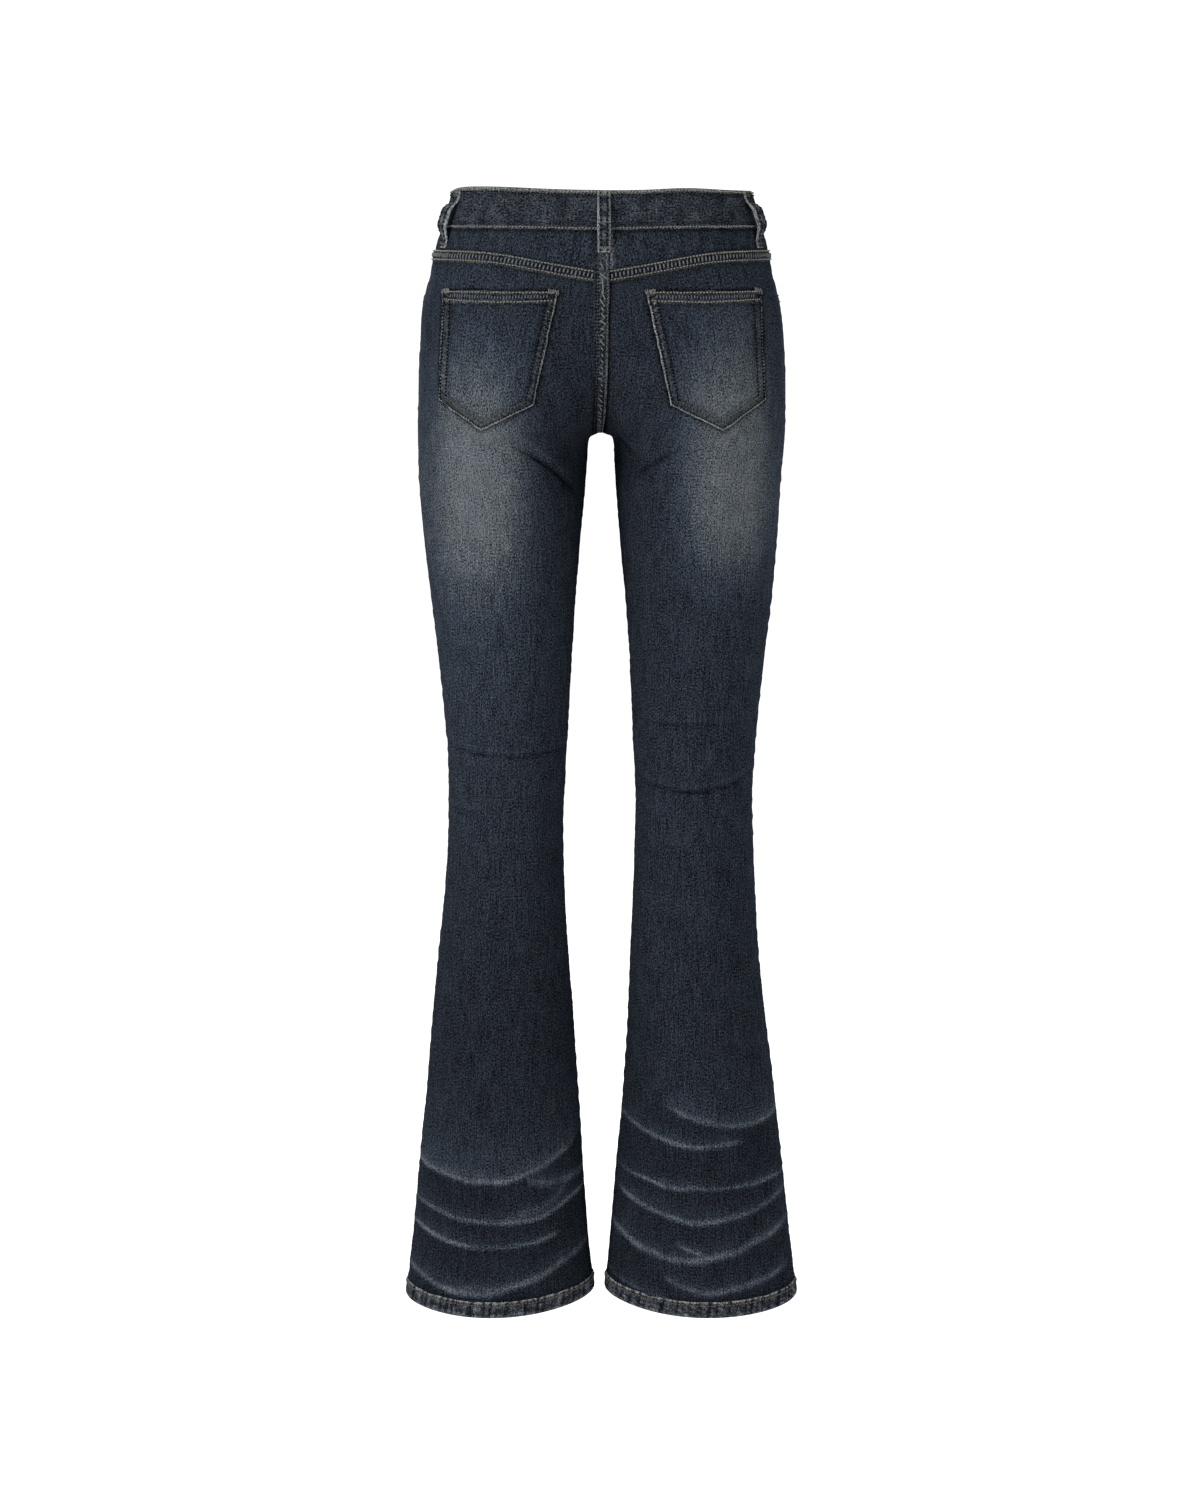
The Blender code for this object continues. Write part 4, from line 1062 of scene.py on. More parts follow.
def make_back(side):
    """The back panel: its top is the lapped band under the yoke; on the left it carries the raised
    strip of the seat seam, which laps past the centre line."""
    drops = leg_drops(86 if side == LEFT else 38)
    shift = np.concatenate([np.full(TOP_ROWS, seat_shift(np.array(TOP_DROP))), seat_shift(drops)])
    strip_drop = np.minimum(np.concatenate([np.full(TOP_ROWS, TOP_DROP), drops]), RISE)
    if side == RIGHT:
        part = even_ends(82)
        angle = pi + part * (pi - shift[:, None] + 0.010 * (strip_drop < RISE - 0.002)[:, None])
    else:
        strip = 2 * pi - seat_angle(LEFT, strip_drop, SEAT_EDGE)
        plain = pi + even_ends(74)[:-1] * (strip[:, None] - pi)
        lapped = strip[:, None] + np.linspace(0, 1, 14) * (2 * pi + shift - strip)[:, None]
        angle = np.hstack([plain, lapped])
    drop = panel_drops(yoke_line(side, angle[0]), drops, 1.25)
    base = surface(side, angle, drop)
    places = cloth_places(base)
    out = np.abs(base[..., 0])
    level = TOP_EDGE - base[..., 2]
    below_yoke = level - yoke_level(out)
    # The felled band under the yoke: raised, ribbed between its two rows of sewing, with painted shade
    # between the ribs and a painted shadow below its edge.
    band = ease(FELL_HEIGHT + 0.0022, FELL_HEIGHT - 0.0010, below_yoke)
    between = bell(below_yoke - 0.0048, 0.0030)
    relief = LAP * band
    relief -= 0.00035 * bell(below_yoke - FELL_HEIGHT - 0.0016, 0.0016)
    rubbed = 0.42 * bell(below_yoke - 0.0002, 0.0010) + 0.20 * bell(below_yoke - 0.0088, 0.0011)
    shade = 1 - 0.35 * bell(below_yoke - FELL_HEIGHT - 0.0016, 0.0018) - 0.60 * between
    # Painted shade and highlight of the creases, a painted shadow line round the pocket's outline, and the
    # painted shadow above the hem.
    shade += crease_shade(side, angle, drop) - 0.72 * bell(pocket_distance(out, level) - 0.0009, 0.0015)
    shade -= hem_shadow(drop)
    from_outseam = (angle - pi) * OUTSEAM_RADIAN
    relief += seam_relief(from_outseam, places[..., 1], 11) + cloth_relief(side, angle, drop, places)
    inseam = np.where(drop > RISE, (2 * pi - angle) * INSEAM_RADIAN, 1.0)
    relief += seam_relief(inseam, places[..., 1], 12)
    rubbed += 0.55 * bell(inseam - 0.0042, 0.0014) * ease(0.45, 0.60, drop) * ease(1.0, 0.8, drop)
    shade -= 0.30 * bell(inseam - 0.0075, 0.0016) * ease(0.25, 0.40, drop)
    if side == LEFT:
        # The seat strip, roped between its two rows of sewing, from the yoke's edge to the crotch.
        signed = np.where(angle > 2 * pi, -out, out)
        past = strip_edge(drop)
        part = np.clip((signed + past) / (SEAT_EDGE + past), 0, 2)
        upper = ease(RISE, RISE - 0.006, drop)
        on_strip = ease(1.10, 0.97, part) * upper
        rope = roping(level, signed, SEAT_ROPE_PITCH, SEAT_ROPE_SLANT, 7)
        inside = bell(part - 0.46, 0.26)
        raised = (LAP - LAP * band * ease(1.0, 0.9, part)) * on_strip
        relief += raised + 0.00045 * (rope - 0.4) * inside * on_strip
        crossing = bell(below_yoke - 0.0050, 0.0060)
        edges = 0.34 * bell(part - 0.04, 0.06) + 0.14 * bell(part - 0.75, 0.22)
        streaks = (0.30 * rope**2 + 0.30 * crossing) * inside
        rubbed = np.where(on_strip > 0.5, streaks + edges, rubbed)
        # Painted shade in the rope's troughs, and a painted shadow just past the strip's edge away from the
        # centre line.
        shade = np.where(on_strip > 0.5, 1 - 0.50 * (1 - rope) * inside, shade)
        shade = shade - 0.25 * bell(part - 1.12, 0.10) * upper
    else:
        # Painted shadow beside the lapped edge of the seat strip.
        beside = np.clip(out - strip_edge(drop), 0, 1)
        shade = shade - 0.88 * bell(beside, 0.0020) * (drop < RISE)
    wash_and_shade = (leg_wash_and_painted_light(side, angle, drop, base), rubbed, shade)
    denim_panel("back", side, angle, drop, base, relief, wash_and_shade, (0.30, 0.99), 0.222)


def make_front(side):
    """The front panel, with the curved pocket mouth cut into its top."""
    drops = leg_drops()
    all_drops = np.concatenate([np.full(TOP_ROWS, TOP_DROP), drops])
    start = -side * FLY_SHIFT * (1 - seat_taper(all_drops)[:, None] ** 3)
    inside = start + even_ends(34)[:-1] * (MOUTH_START - start)
    mouth = MOUTH_START + (pi - MOUTH_START) * np.linspace(0, 1, 44) ** 1.35
    crowded = np.hstack([inside, np.broadcast_to(mouth, (len(all_drops), 44))])
    even = start + even_ends(crowded.shape[1]) * (pi - start)
    angle = crowded + (even - crowded) * ease(COMMON_DROP, RISE, all_drops)[:, None]
    drop = panel_drops(mouth_line(side, angle[0]), drops, 1.2)
    base = surface(side, angle, drop)
    places = cloth_places(base)
    from_outseam = (pi - angle) * OUTSEAM_RADIAN
    relief = seam_relief(from_outseam, places[..., 1], 13) + cloth_relief(side, angle, drop, places)
    inseam = np.where(drop > RISE, angle * INSEAM_RADIAN, 1.0)
    relief += seam_relief(inseam, places[..., 1], 14)
    below_edge = drop - mouth_line(side, np.clip(angle, None, pi))
    at_mouth = ease(MOUTH_START, MOUTH_START + 0.12, angle)
    relief += 0.0006 * ease(0.0085, 0.0060, below_edge) * at_mouth
    rubbed = 0.7 * bell(below_edge, 0.0018) * at_mouth
    across = figure("side_left", np.clip(drop, 0, 0.2)) * np.sin(angle / 2)
    if side == LEFT:
        # The fly's facing: a step that follows the curved row of sewing, and a pale lapped edge.
        toward_foot = np.clip((drop - 0.085) / 0.062, 0, 1)
        curve = FLY_STITCH_ACROSS * np.sqrt(np.clip(1 - toward_foot**2, 0, 1))
        relief += 0.0007 * ease(0.0015, -0.0015, across - curve) * ease(RISE, RISE - 0.02, drop)
        rubbed += 0.35 * bell(across + 0.0025, 0.0014) * (drop < 0.17)
    else:
        rubbed += 0.25 * bell(across - 0.0015, 0.0010) * (drop < 0.17)
    # Painted shade and highlight of the creases, a painted shadow above the hem, and a painted shadow below
    # the mouth's raised band.
    shade = 1 + crease_shade(side, angle, drop) - hem_shadow(drop)
    shade -= 0.35 * bell(below_edge - 0.0095, 0.0016) * at_mouth
    wash_and_shade = (leg_wash_and_painted_light(side, angle, drop, base), rubbed, shade)
    denim_panel("front", side, angle, drop, base, relief, wash_and_shade, (0.27, 0.98), 0.212)


def make_yoke(side):
    """The yoke, from under the waistband to just under the back panel's lapped edge."""
    end = 2 * pi + side * seat_shift(np.array(TOP_DROP))
    angle = np.tile(pi + even_ends(110) * (end - pi), (22, 1))
    top = waist_line(side, angle[0], -0.001)
    low = yoke_line(side, angle[0], 0.002)
    drop = top + (low - top) * np.linspace(0, 1, 22)[:, None]
    base = surface(side, angle, drop)
    places = cloth_places(base)
    above = yoke_level(base[..., 0]) - (TOP_EDGE - base[..., 2])
    relief = -0.0006 * ease(0.0015, 0.0, above)
    relief += seam_relief((angle - pi) * OUTSEAM_RADIAN, places[..., 1], 15)
    relief += 0.00022 * waves(places[..., 0], places[..., 1], 8, 0.03, 0.010, 16)
    centre = np.abs(end - angle) * INSEAM_RADIAN
    relief -= 0.0005 * bell(centre, 0.0014)
    below_band = drop - top
    # Painted shade where the yoke runs under the back panel's lapped edge and in the centre seam's groove,
    # and a painted shadow under the waistband.
    shade = 1 - 0.35 * ease(0.0035, 0.0, above) - 0.45 * bell(centre, 0.0012)
    shade -= 0.60 * bell(below_band - 0.0022, 0.0016)
    rubbed = 0.30 * bell(centre - 0.002, 0.0015)
    if side == LEFT:
        # The seat's strip runs on up over the yoke to the belt loop, with a painted shadow past its edge.
        mottle = 0.5 + 0.5 * waves(places[..., 0], places[..., 1], 8, 0.008, 0.003, 18)
        rubbed = 0.50 * bell(centre - 0.0010, 0.0011) + 0.36 * bell(centre - 0.0058, 0.0036) * mottle**2
        shade -= 0.35 * bell(centre - 0.0118, 0.0016)
    mottle = waves(places[..., 0], places[..., 1] * 2, 8, 0.03, 0.010, 17)
    # Part of the right yoke's wear is painted light, for the side away from the key lamp.
    worn = YOKE_WEAR_AND_PAINTED_LIGHT[side] + 0.04 * mottle + 0.10 * bell(angle - pi, 0.45)
    wash_and_shade = (worn, rubbed, shade)
    denim_panel("yoke", side, angle, drop, base, relief, wash_and_shade, (0.205, 0.050), 0.0062)


# ---------------------------------------------------------------- waistband, hems, pockets


def band_sections():
    """Legs and angles round the waistband, from its lapped end at the front to its hidden one."""
    left = np.linspace(-2 * np.arcsin(BAND_END / FIGURE["side_left"][0]), 2 * pi, 300)[:-1]
    under_end = -2 * np.arcsin(BAND_OVERLAP / FIGURE["side_right"][0])
    right = np.linspace(2 * pi, under_end, 330)
    return [(LEFT, left), (RIGHT, right)]


def band_tuck(side, angle):
    """How far the hidden end runs inside the other one."""
    return (side == RIGHT) * (BAND_CLOTH + OVERLAP_GAP) * (1 - ease(0.10, 0.75, angle))


def top_humps(points, fade):
    """How far the worn top edge rises at these points: a Gauss hump on each side of the back."""
    rise = np.zeros(points.shape[:-1])
    for leg, middle, reach, height in TOP_HUMPS:
        own = (points[..., 0] * leg > 0) * ease(0, 0.06, points[..., 1])
        rise += height * MM * bell(np.abs(points[..., 0]) / MM - middle, reach) * fade * own
    return rise


def make_waistband():
    """One strip round the waist. Rolled top edge, rows of sewing that pull it in, and a cloth
    that ripples a little lengthways."""
    part = np.array(BAND_ROWS)
    faces, ways = [], []
    for side, angle in band_sections():
        drop = part[:, None] * waist_line(side, angle)
        grid = np.broadcast_to(angle, drop.shape)
        way = normals(side, grid, drop)
        stands = (BAND_STANDS - band_tuck(side, angle))[None, :, None]
        faces.append(surface(side, grid, drop) + way * stands)
        ways.append(way)
    outer = np.concatenate(faces, 1)
    out = np.concatenate(ways, 1)
    along = cloth_places(outer)[..., 0]
    down = part[:, None] * BAND_HEIGHT + 0 * along
    outer[..., 2] += top_humps(outer, (1 - part[:, None]) ** 1.5)
    ripple = 0.00030 * waves(along, down, 10, 0.030, 0.009, 31, pi / 2.3, 1.2) * np.sin(pi * part)[:, None]
    rolled = -0.0010 * bell(down, 0.0011) - 0.0009 * bell(BAND_HEIGHT - down, 0.0009)
    sewn = -0.00035 * (bell(down - 0.0036, 0.0010) + bell(BAND_HEIGHT - 0.0038 - down, 0.0010))
    at_edges = bell(down - 0.001, 0.001) + bell(BAND_HEIGHT - 0.001 - down, 0.001)
    pucker = 0.00022 * np.sin(2 * pi * along / THREAD_PITCH) * at_edges
    relief = ripple + rolled + sewn + pucker
    cloud = waves(along, down * 2.2, 12, 0.050, 0.012, 33)
    worn = np.clip(0.18 + 0.085 * cloud, 0, 1)
    rubbed = 0.62 * bell(down - 0.0010, 0.0021) + 0.26 * bell(BAND_HEIGHT - 0.0010 - down, 0.0012)
    # Painted shade just inside the grooves that the rows of sewing pull in.
    shade = 1 - 0.30 * bell(BAND_HEIGHT - 0.0046 - down, 0.0014) - 0.42 * bell(down - 0.0050, 0.0015)
    thickness = np.array([0.2, 0.6, 0.9] + [1.0] * 13 + [0.9, 0.7, 0.45])[:, None, None] * BAND_CLOTH
    inner = outer - out * thickness
    outer = outer + out * relief[..., None]
    wash_and_shade, flat = (worn, rubbed, shade), (0.905, 0.034)
    cloth_node("waistband", "strip", outer, inner, wash_and_shade, flat, cloths=BAND_CLOTHS)
    for name, height in (("top", 0.0020), ("low", BAND_HEIGHT - 0.0016)):
        rows = []
        for side, angle in band_sections():
            low = waist_line(side, angle)
            spots, way = path_on(side, angle, low * height / BAND_HEIGHT, 0.0005)
            spots = spots + way * (BAND_STANDS - band_tuck(side, angle))[:, None]
            spots[:, 2] += top_humps(spots, 0.92 if name == "top" else 0.0)
            rows.append((spots, way))
        place, way = [np.concatenate(parts) for parts in zip(*rows)]
        sewing = f"waistband_{name}_sewing"
        stitches(sewing, [(place, way)], TAN, thick=0.00115, uneven=0.3)
        if name == "top":
            # Dark beads in the holes below the top row: painted shade of the stitch holes.
            below = (place - np.array([0, 0, 0.0024]), way)
            stitches("waistband_top_holes", [below], DARK, length=0.0014, thick=0.0013, uneven=0.3)
        inside = (place - way * (BAND_CLOTH + 0.0006), -way)
        stitches(sewing + "_inside", [inside], TAN, thick=0.0009)


def make_hem(side):
    """The turned-up hem: a roped ring, thick, with a rolled lower edge."""
    part = np.array(HEM_ROWS)
    angle = np.tile(np.linspace(0, 2 * pi, 331)[:-1], (len(part), 1))
    top = LENGTH - HEM_HEIGHT
    drop = top + HEM_HEIGHT * part[:, None] + 0 * angle
    base = surface(side, angle, drop)
    normal = normals(side, angle, drop)
    steps = np.linalg.norm(base - np.roll(base, -1, 1), axis=-1)
    along = np.cumsum(steps, 1)
    turn = along / along[:, -1:] * 2 * pi
    down = part[:, None] * HEM_HEIGHT + 0 * along
    # The tucks: a groove at each whole number of a phase that wanders round the ring.
    wander = 0.9 * np.sin(3 * turn + side) + 0.7 * np.sin(7 * turn + 2)
    wander += 0.8 * np.sin(13 * turn + side * 2)
    phase = HEM_TUCKS * turn / (2 * pi) + wander / (2 * pi) * 2.0 + side * down / HEM_HEIGHT * 0.40
    from_tuck = np.abs(phase - np.round(phase)) * 2
    depth = 0.62 + 0.45 * np.sin(5 * turn) * np.sin(17 * turn + 1) + 0.35 * np.sin(29 * turn)
    tuck = bell(from_tuck, 0.40) * np.clip(depth, 0.1, 1)
    swell = np.sin(pi * np.clip(part, 0, 1))[:, None] ** 0.6
    relief = HEM_STANDS + (0.00045 - 0.00110 * tuck) * swell - 0.0011 * bell(HEM_HEIGHT - down, 0.0009)
    relief -= 0.0006 * bell(down, 0.0005) + 0.00030 * bell(down - 0.0030, 0.0009)
    puff = 1 - tuck
    patchy = waves(along, down * 1.6, 10, 0.020, 0.005, 71 + side)
    worn = 0.14 + 0.08 * patchy
    rubbed = 1.00 * bell(down - 0.0004, 0.0014) * puff**2 + 0.30 * bell(HEM_HEIGHT - down, 0.0026) * puff
    rubbed += np.clip(0.14 + 0.20 * patchy, 0, 1) * puff**2
    # Painted shade in the tucks' grooves and in the groove where the top is sewn down.
    shade = 1 - 0.85 * tuck * swell - 0.45 * bell(down - 0.0026, 0.0011) * (1 - 0.6 * puff)
    thickness = np.interp(part, (0, 0.06, 0.85, 0.95, 1), (0.55, 1, 1, 0.8, 0.35))[:, None, None] * HEM_CLOTH
    outer = base + normal * relief[..., None]
    inner = base + normal * HEM_STANDS - normal * thickness
    name = "hem_" + SIDE_NAME[side]
    wash_and_shade, flat = (worn, rubbed, shade), (0.52, 0.016)
    cloth_node(name, "ring", outer, inner, wash_and_shade, flat, ring=True, flip=side == RIGHT)
    turns = np.linspace(0, 2 * pi, 500)
    row = path_on(side, turns, np.full(500, top + HEM_SEWING), HEM_STANDS + 0.0003)
    stitches(name + "_sewing", [row], BROWN, length=0.0028, thick=0.0014, pitch=0.0034, uneven=0.5)


def pocket_spots(across, down):
    """Places on a back pocket from two numbers of 0 to 1: across from its inner to its outer edge
    and down from its straight top to its pointed bottom."""
    across = np.asarray(across)[..., None]
    down = np.asarray(down)[..., None]
    top = np.array(POCKET_TOP_INNER) + across * np.subtract(POCKET_TOP_OUTER, POCKET_TOP_INNER)
    toward_tip = np.array(POCKET_LOW_INNER) + across * 2 * np.subtract(POCKET_TIP, POCKET_LOW_INNER)
    from_tip = np.array(POCKET_TIP) + (across * 2 - 1) * np.subtract(POCKET_LOW_OUTER, POCKET_TIP)
    low = np.where(across < 0.5, toward_tip, from_tip)
    return top + (low - top) * down


def make_pocket(side):
    """A patch pocket: hemmed top, sides and a pointed bottom with two rows of sewing round it."""
    across, down = np.meshgrid(even_ends(69, POCKET_CROWD), even_ends(78, POCKET_CROWD))
    spots = pocket_spots(across, down)
    wobble = 0.00045 * waves(spots[..., 0], spots[..., 1], 6, 0.03, 0.010, 51 + side)
    spots = spots + wobble[..., None]
    angle, drop = back_spot(side, spots[..., 0], spots[..., 1])
    base = surface(side, angle, drop)
    normal = normals(side, angle, drop)
    width = np.linalg.norm(base[:, -1] - base[:, 0], axis=-1)[:, None]
    height = np.linalg.norm(base[-1] - base[0], axis=-1)[None]
    from_side = np.minimum(across * width, (1 - across) * width)
    from_top, from_low = down * height, (1 - down) * height * 0.90
    side_edge = np.minimum(from_side, from_low)
    edge = np.minimum(side_edge, from_top)
    along = spots[..., 1] + 0.7 * spots[..., 0]
    rope = roping(along, edge * 0, POCKET_ROPE_PITCH, 0.0, 60 + side)
    band = bell(side_edge - 0.0050, 0.0030)
    hemmed = bell(from_top - 0.0045, 0.0035)
    relief = 0.0014 * (1 - np.exp(-edge / 0.0009)) + 0.00022 * (rope - 0.4) * band
    relief -= 0.00030 * (bell(side_edge - 0.0024, 0.0008) + bell(side_edge - 0.0080, 0.0010))
    relief += 0.00035 * ease(0.0098, 0.0080, from_top)
    sagging = waves(spots[..., 0], spots[..., 1], 9, 0.05, 0.014, 55 + side)
    relief += 0.00035 * sagging * ease(0.004, 0.012, edge)
    worn = leg_wash_and_painted_light(side, angle, drop, base)
    # Part of the right pocket's wear is painted light, for the side away from the key lamp.
    worn = worn * (0.90 + 0.10 * ease(0.004, 0.014, edge)) + POCKET_WEAR_AND_PAINTED_LIGHT[side]
    rubbed = (0.70 + 0.50 * rope) * bell(side_edge - 0.0004, 0.0012)
    rubbed += 1.10 * bell(from_low - 0.0002, 0.0017)
    rubbed += 0.25 * bell(from_top - 0.0006, 0.0011) + 0.22 * bell(from_top - 0.0096, 0.0010)
    rubbed += (0.06 + 0.26 * rope**2) * band + 0.10 * rope * hemmed
    worn = worn + 0.12 * ease(0.35, 0.95, down) * (side == RIGHT)
    # Painted shade in the rope's troughs, along the inner edge of the turned sides, in the first row's
    # groove, between the top ribs and under the top hem's edge; the low hem is also darker.
    shade = 1 - 0.28 * (1 - rope) * band - 0.25 * bell(side_edge - 0.0105, 0.0018)
    shade -= 0.40 * bell(from_top - 0.0122, 0.0014)
    shade -= 0.30 * ease(0.0100, 0.0080, from_low) * ease(0.0010, 0.0024, side_edge)
    shade -= 0.45 * bell(from_top - 0.0054, 0.0026) + 0.30 * bell(side_edge - 0.0024, 0.0008)
    name = "back_pocket_" + SIDE_NAME[side]
    outer = base + normal * (relief + POCKET_STANDS)[..., None]
    inner = base + normal * 0.0002
    wash_and_shade, flat = (worn, rubbed, shade), (0.112, 0.130)
    cloth_node(name, "patch", outer, inner, wash_and_shade, flat, 0.0122, flip=side == LEFT)

    def row(corners, lift):
        """A row of sewing inside the pocket's edges, through places given from 0 to 1."""
        at = np.linspace(0, 1, 160)
        steps = np.linspace(0, 1, len(corners))
        lines = [[corner[axis] for corner in corners] for axis in (0, 1)]
        place = pocket_spots(*[np.interp(at, steps, line) for line in lines])
        turn, fall = back_spot(side, place[:, 0], place[:, 1])
        return path_on(side, turn, fall, POCKET_STANDS + 0.0014 + lift)

    # Two rows inside the edge: distance in from it, where they start and the low row's thread
    for number, (inset, start, thread) in enumerate(((0.0022, 0.010, DARK), (0.0076, 0.085, OLIVE))):
        in_top = inset / 0.100
        in_low = inset * 1.05 / 0.085
        low = 1 - inset * 1.12 / 0.115
        lower = [(in_low, low), (0.5, 1 - inset * 1.25 / 0.125), (1 - in_low, low)]
        sides = [row([(in_top, start), lower[0]], 0.0002), row([(1 - in_top, start), lower[2]], 0.0002)]
        ending = f"sewing_{number + 1}"
        stitches(f"{name}_side_{ending}", sides, DARK, length=0.0021, thick=0.0017, uneven=0.4)
        stitches(f"{name}_low_{ending}", [row(lower, 0.0002)], thread, thick=0.0010)
    tops = [row([(0.02, 0.014), (0.98, 0.014)], 0.0002), row([(0.02, 0.083), (0.98, 0.083)], 0.0004)]
    stitches(name + "_top_sewing", tops, GOLD, thick=0.00115, uneven=0.3)
    ribs = [row([(0.07, 0.048), (0.93, 0.048)], -0.0001)]
    ribbed = {"length": 0.0046, "thick": 0.0012, "pitch": 0.0028, "skew": RIBS_ACROSS}
    stitches(name + "_top_ribs", ribs, RIB, uneven=0.5, **ribbed)
    tacks = []
    for corner in (0.035, 0.965):
        place = pocket_spots(np.array([corner]), np.array([0.008]))
        turn, fall = back_spot(side, place[:, 0], place[:, 1])
        spot, out = path_on(side, turn, fall, 0.0028)
        level_way = unit(np.array([side * 1.0, 0.0, 0.1]) - out[0] * out[0][0] * side)
        tacks += bartack(spot[0], level_way, out[0], 0.0085, 0.0040)
    pale = [tack for number, tack in enumerate(tacks) if number % 3]
    stitches(name + "_tacks", tacks[::3], RUST, length=0.0026, thick=0.0008, pitch=0.0026, uneven=0.6)
    stitches(name + "_tack_edges", pale, STREAK, length=0.0030, thick=0.0009, pitch=0.0026, uneven=0.9)


def make_facing(side):
    """The cloth seen in the front pocket's mouth, just inside the front panel."""
    angle = np.tile(np.linspace(MOUTH_START - 0.14, pi, 50), (36, 1))
    top = waist_line(side, angle[0], -0.001)
    drop = top + (MOUTH_DROP + 0.022 - top) * np.linspace(0, 1, 36)[:, None]
    base = surface(side, angle, drop)
    normal = normals(side, angle, drop)
    name = "pocket_facing_" + SIDE_NAME[side]
    outer = base - normal * (DENIM + 0.0004)
    # Painted shade just inside the pocket mouth's edge.
    shade = 1 - 0.5 * bell(drop - mouth_line(side, angle), 0.004)
    wash_and_shade, flat = (0.03, 0.0, shade), (0.115, 0.105)
    inner = outer - normal * DENIM
    cloth_node(name, "cloth", outer, inner, wash_and_shade, flat, 0.0088, flip=side == RIGHT)


# ---------------------------------------------------------------- belt loops and the seams' sewing


def make_loop(name, side, degrees, length, stand_off, edge_more):
    """A belt loop: a folded strip, tacked at both ends and bowed between, with rolled worn edges."""
    angle = radians(degrees)
    run = np.linspace(0, 1, 64)
    turns = np.full(run.shape, angle)
    top = TOP_EDGE - surface(side, angle, 0.0)[2]
    drops = drop_at_level(side, turns, top + LOOP_TOP_DROP + run * length)
    rim = surface(side, turns, drops)
    out = normals(side, turns, drops)
    sideways = unit(np.cross(out, np.gradient(rim, axis=0)))
    foot = LOOP_FOOT / length
    rests_on = BAND_STANDS * (1 - ease(0.80, 0.90, run))
    bow = ease(foot, 3.2 * foot, run) * (1 - ease(1 - 3.2 * foot, 1 - foot, run))
    part = np.array([-0.5, -0.485, -0.44, -0.36, -0.24, -0.1, 0.1, 0.24, 0.36, 0.44, 0.485, 0.5])
    more = edge_more * 2 * -side
    height = 0.0003 + rests_on[:, None] + bow[:, None] * (stand_off + more * part)
    round_edge = 1 - np.clip(np.abs(part) * 2, 0, 1) ** 8 * 0.75
    rope = roping(run * length, run * 0, LOOP_ROPE_PITCH, 0, len(name) + int(degrees))
    ridge = bell(np.abs(part) - 0.40, 0.09)
    thick = LOOP_CLOTH * round_edge + 0.0003 * (rope[:, None] - 0.4) * ridge
    narrow = 1 - 0.05 * (1 - bow) - 0.03 * rope * bow
    spread = sideways[:, None] * (part * LOOP_WIDTH * narrow[:, None])[..., None]
    face = rim[:, None] + spread + out[:, None] * (height + thick)[..., None]
    reverse = rim[:, None] + spread + out[:, None] * height[..., None]
    edge = np.clip(np.abs(part) * 2, 0, 1)[None] + 0 * run[:, None]
    rubbed = 1.50 * bell(1 - edge, 0.22) + 0.30 * bell(edge - 0.76, 0.10) * rope[:, None] ** 2
    rubbed += 0.70 * bell(run * length - 0.001, 0.0014)[:, None]
    rubbed += 0.8 * bell((1 - run) * length, 0.0018)[:, None]
    # Puckers along the loop: their crests are worn paler, and painted shade fills their troughs and runs
    # along the rows of sewing.
    loop_puckers = (0.5 + 0.5 * np.sin(2 * pi * run * length / 0.0130 + 1))[:, None]
    at_back = "back" in name
    worn = (0.42 if at_back else 0.50) + 0.55 * (bow[:, None] * bell(edge, 0.45)) * loop_puckers
    shade = 1 - 0.45 * bell(edge - 0.52, 0.16) - 0.65 * (1 - loop_puckers) ** 2 * bell(edge, 0.55)
    wash_and_shade, flat = (worn, rubbed, shade), (LOOP_WIDTH, length * 1.08)
    cloth_node(name, "strip", face, reverse, wash_and_shade, flat, flip=True)
    rows = []
    for at in LOOP_ROWS:
        lift = 0.0003 + rests_on + bow * (stand_off + more * at) + LOOP_CLOTH
        rows.append((rim + sideways * at * LOOP_WIDTH + out * (lift - 0.0002)[:, None], out))
    stitches(name + "_sewing", rows, DARK, length=0.0027, thick=0.0019, pitch=0.0042, uneven=0.4)
    tacks = []
    for row in (3, -5):
        spot = rim[row] + out[row] * (0.0004 + rests_on[row] + LOOP_CLOTH)
        tacks += bartack(spot, sideways[row], out[row], LOOP_WIDTH * 0.86, 0.0020)
    thread = TAN if at_back else OLIVE
    stitches(name + "_tacks", tacks, thread, length=0.0022, thick=0.00055, pitch=0.0018)


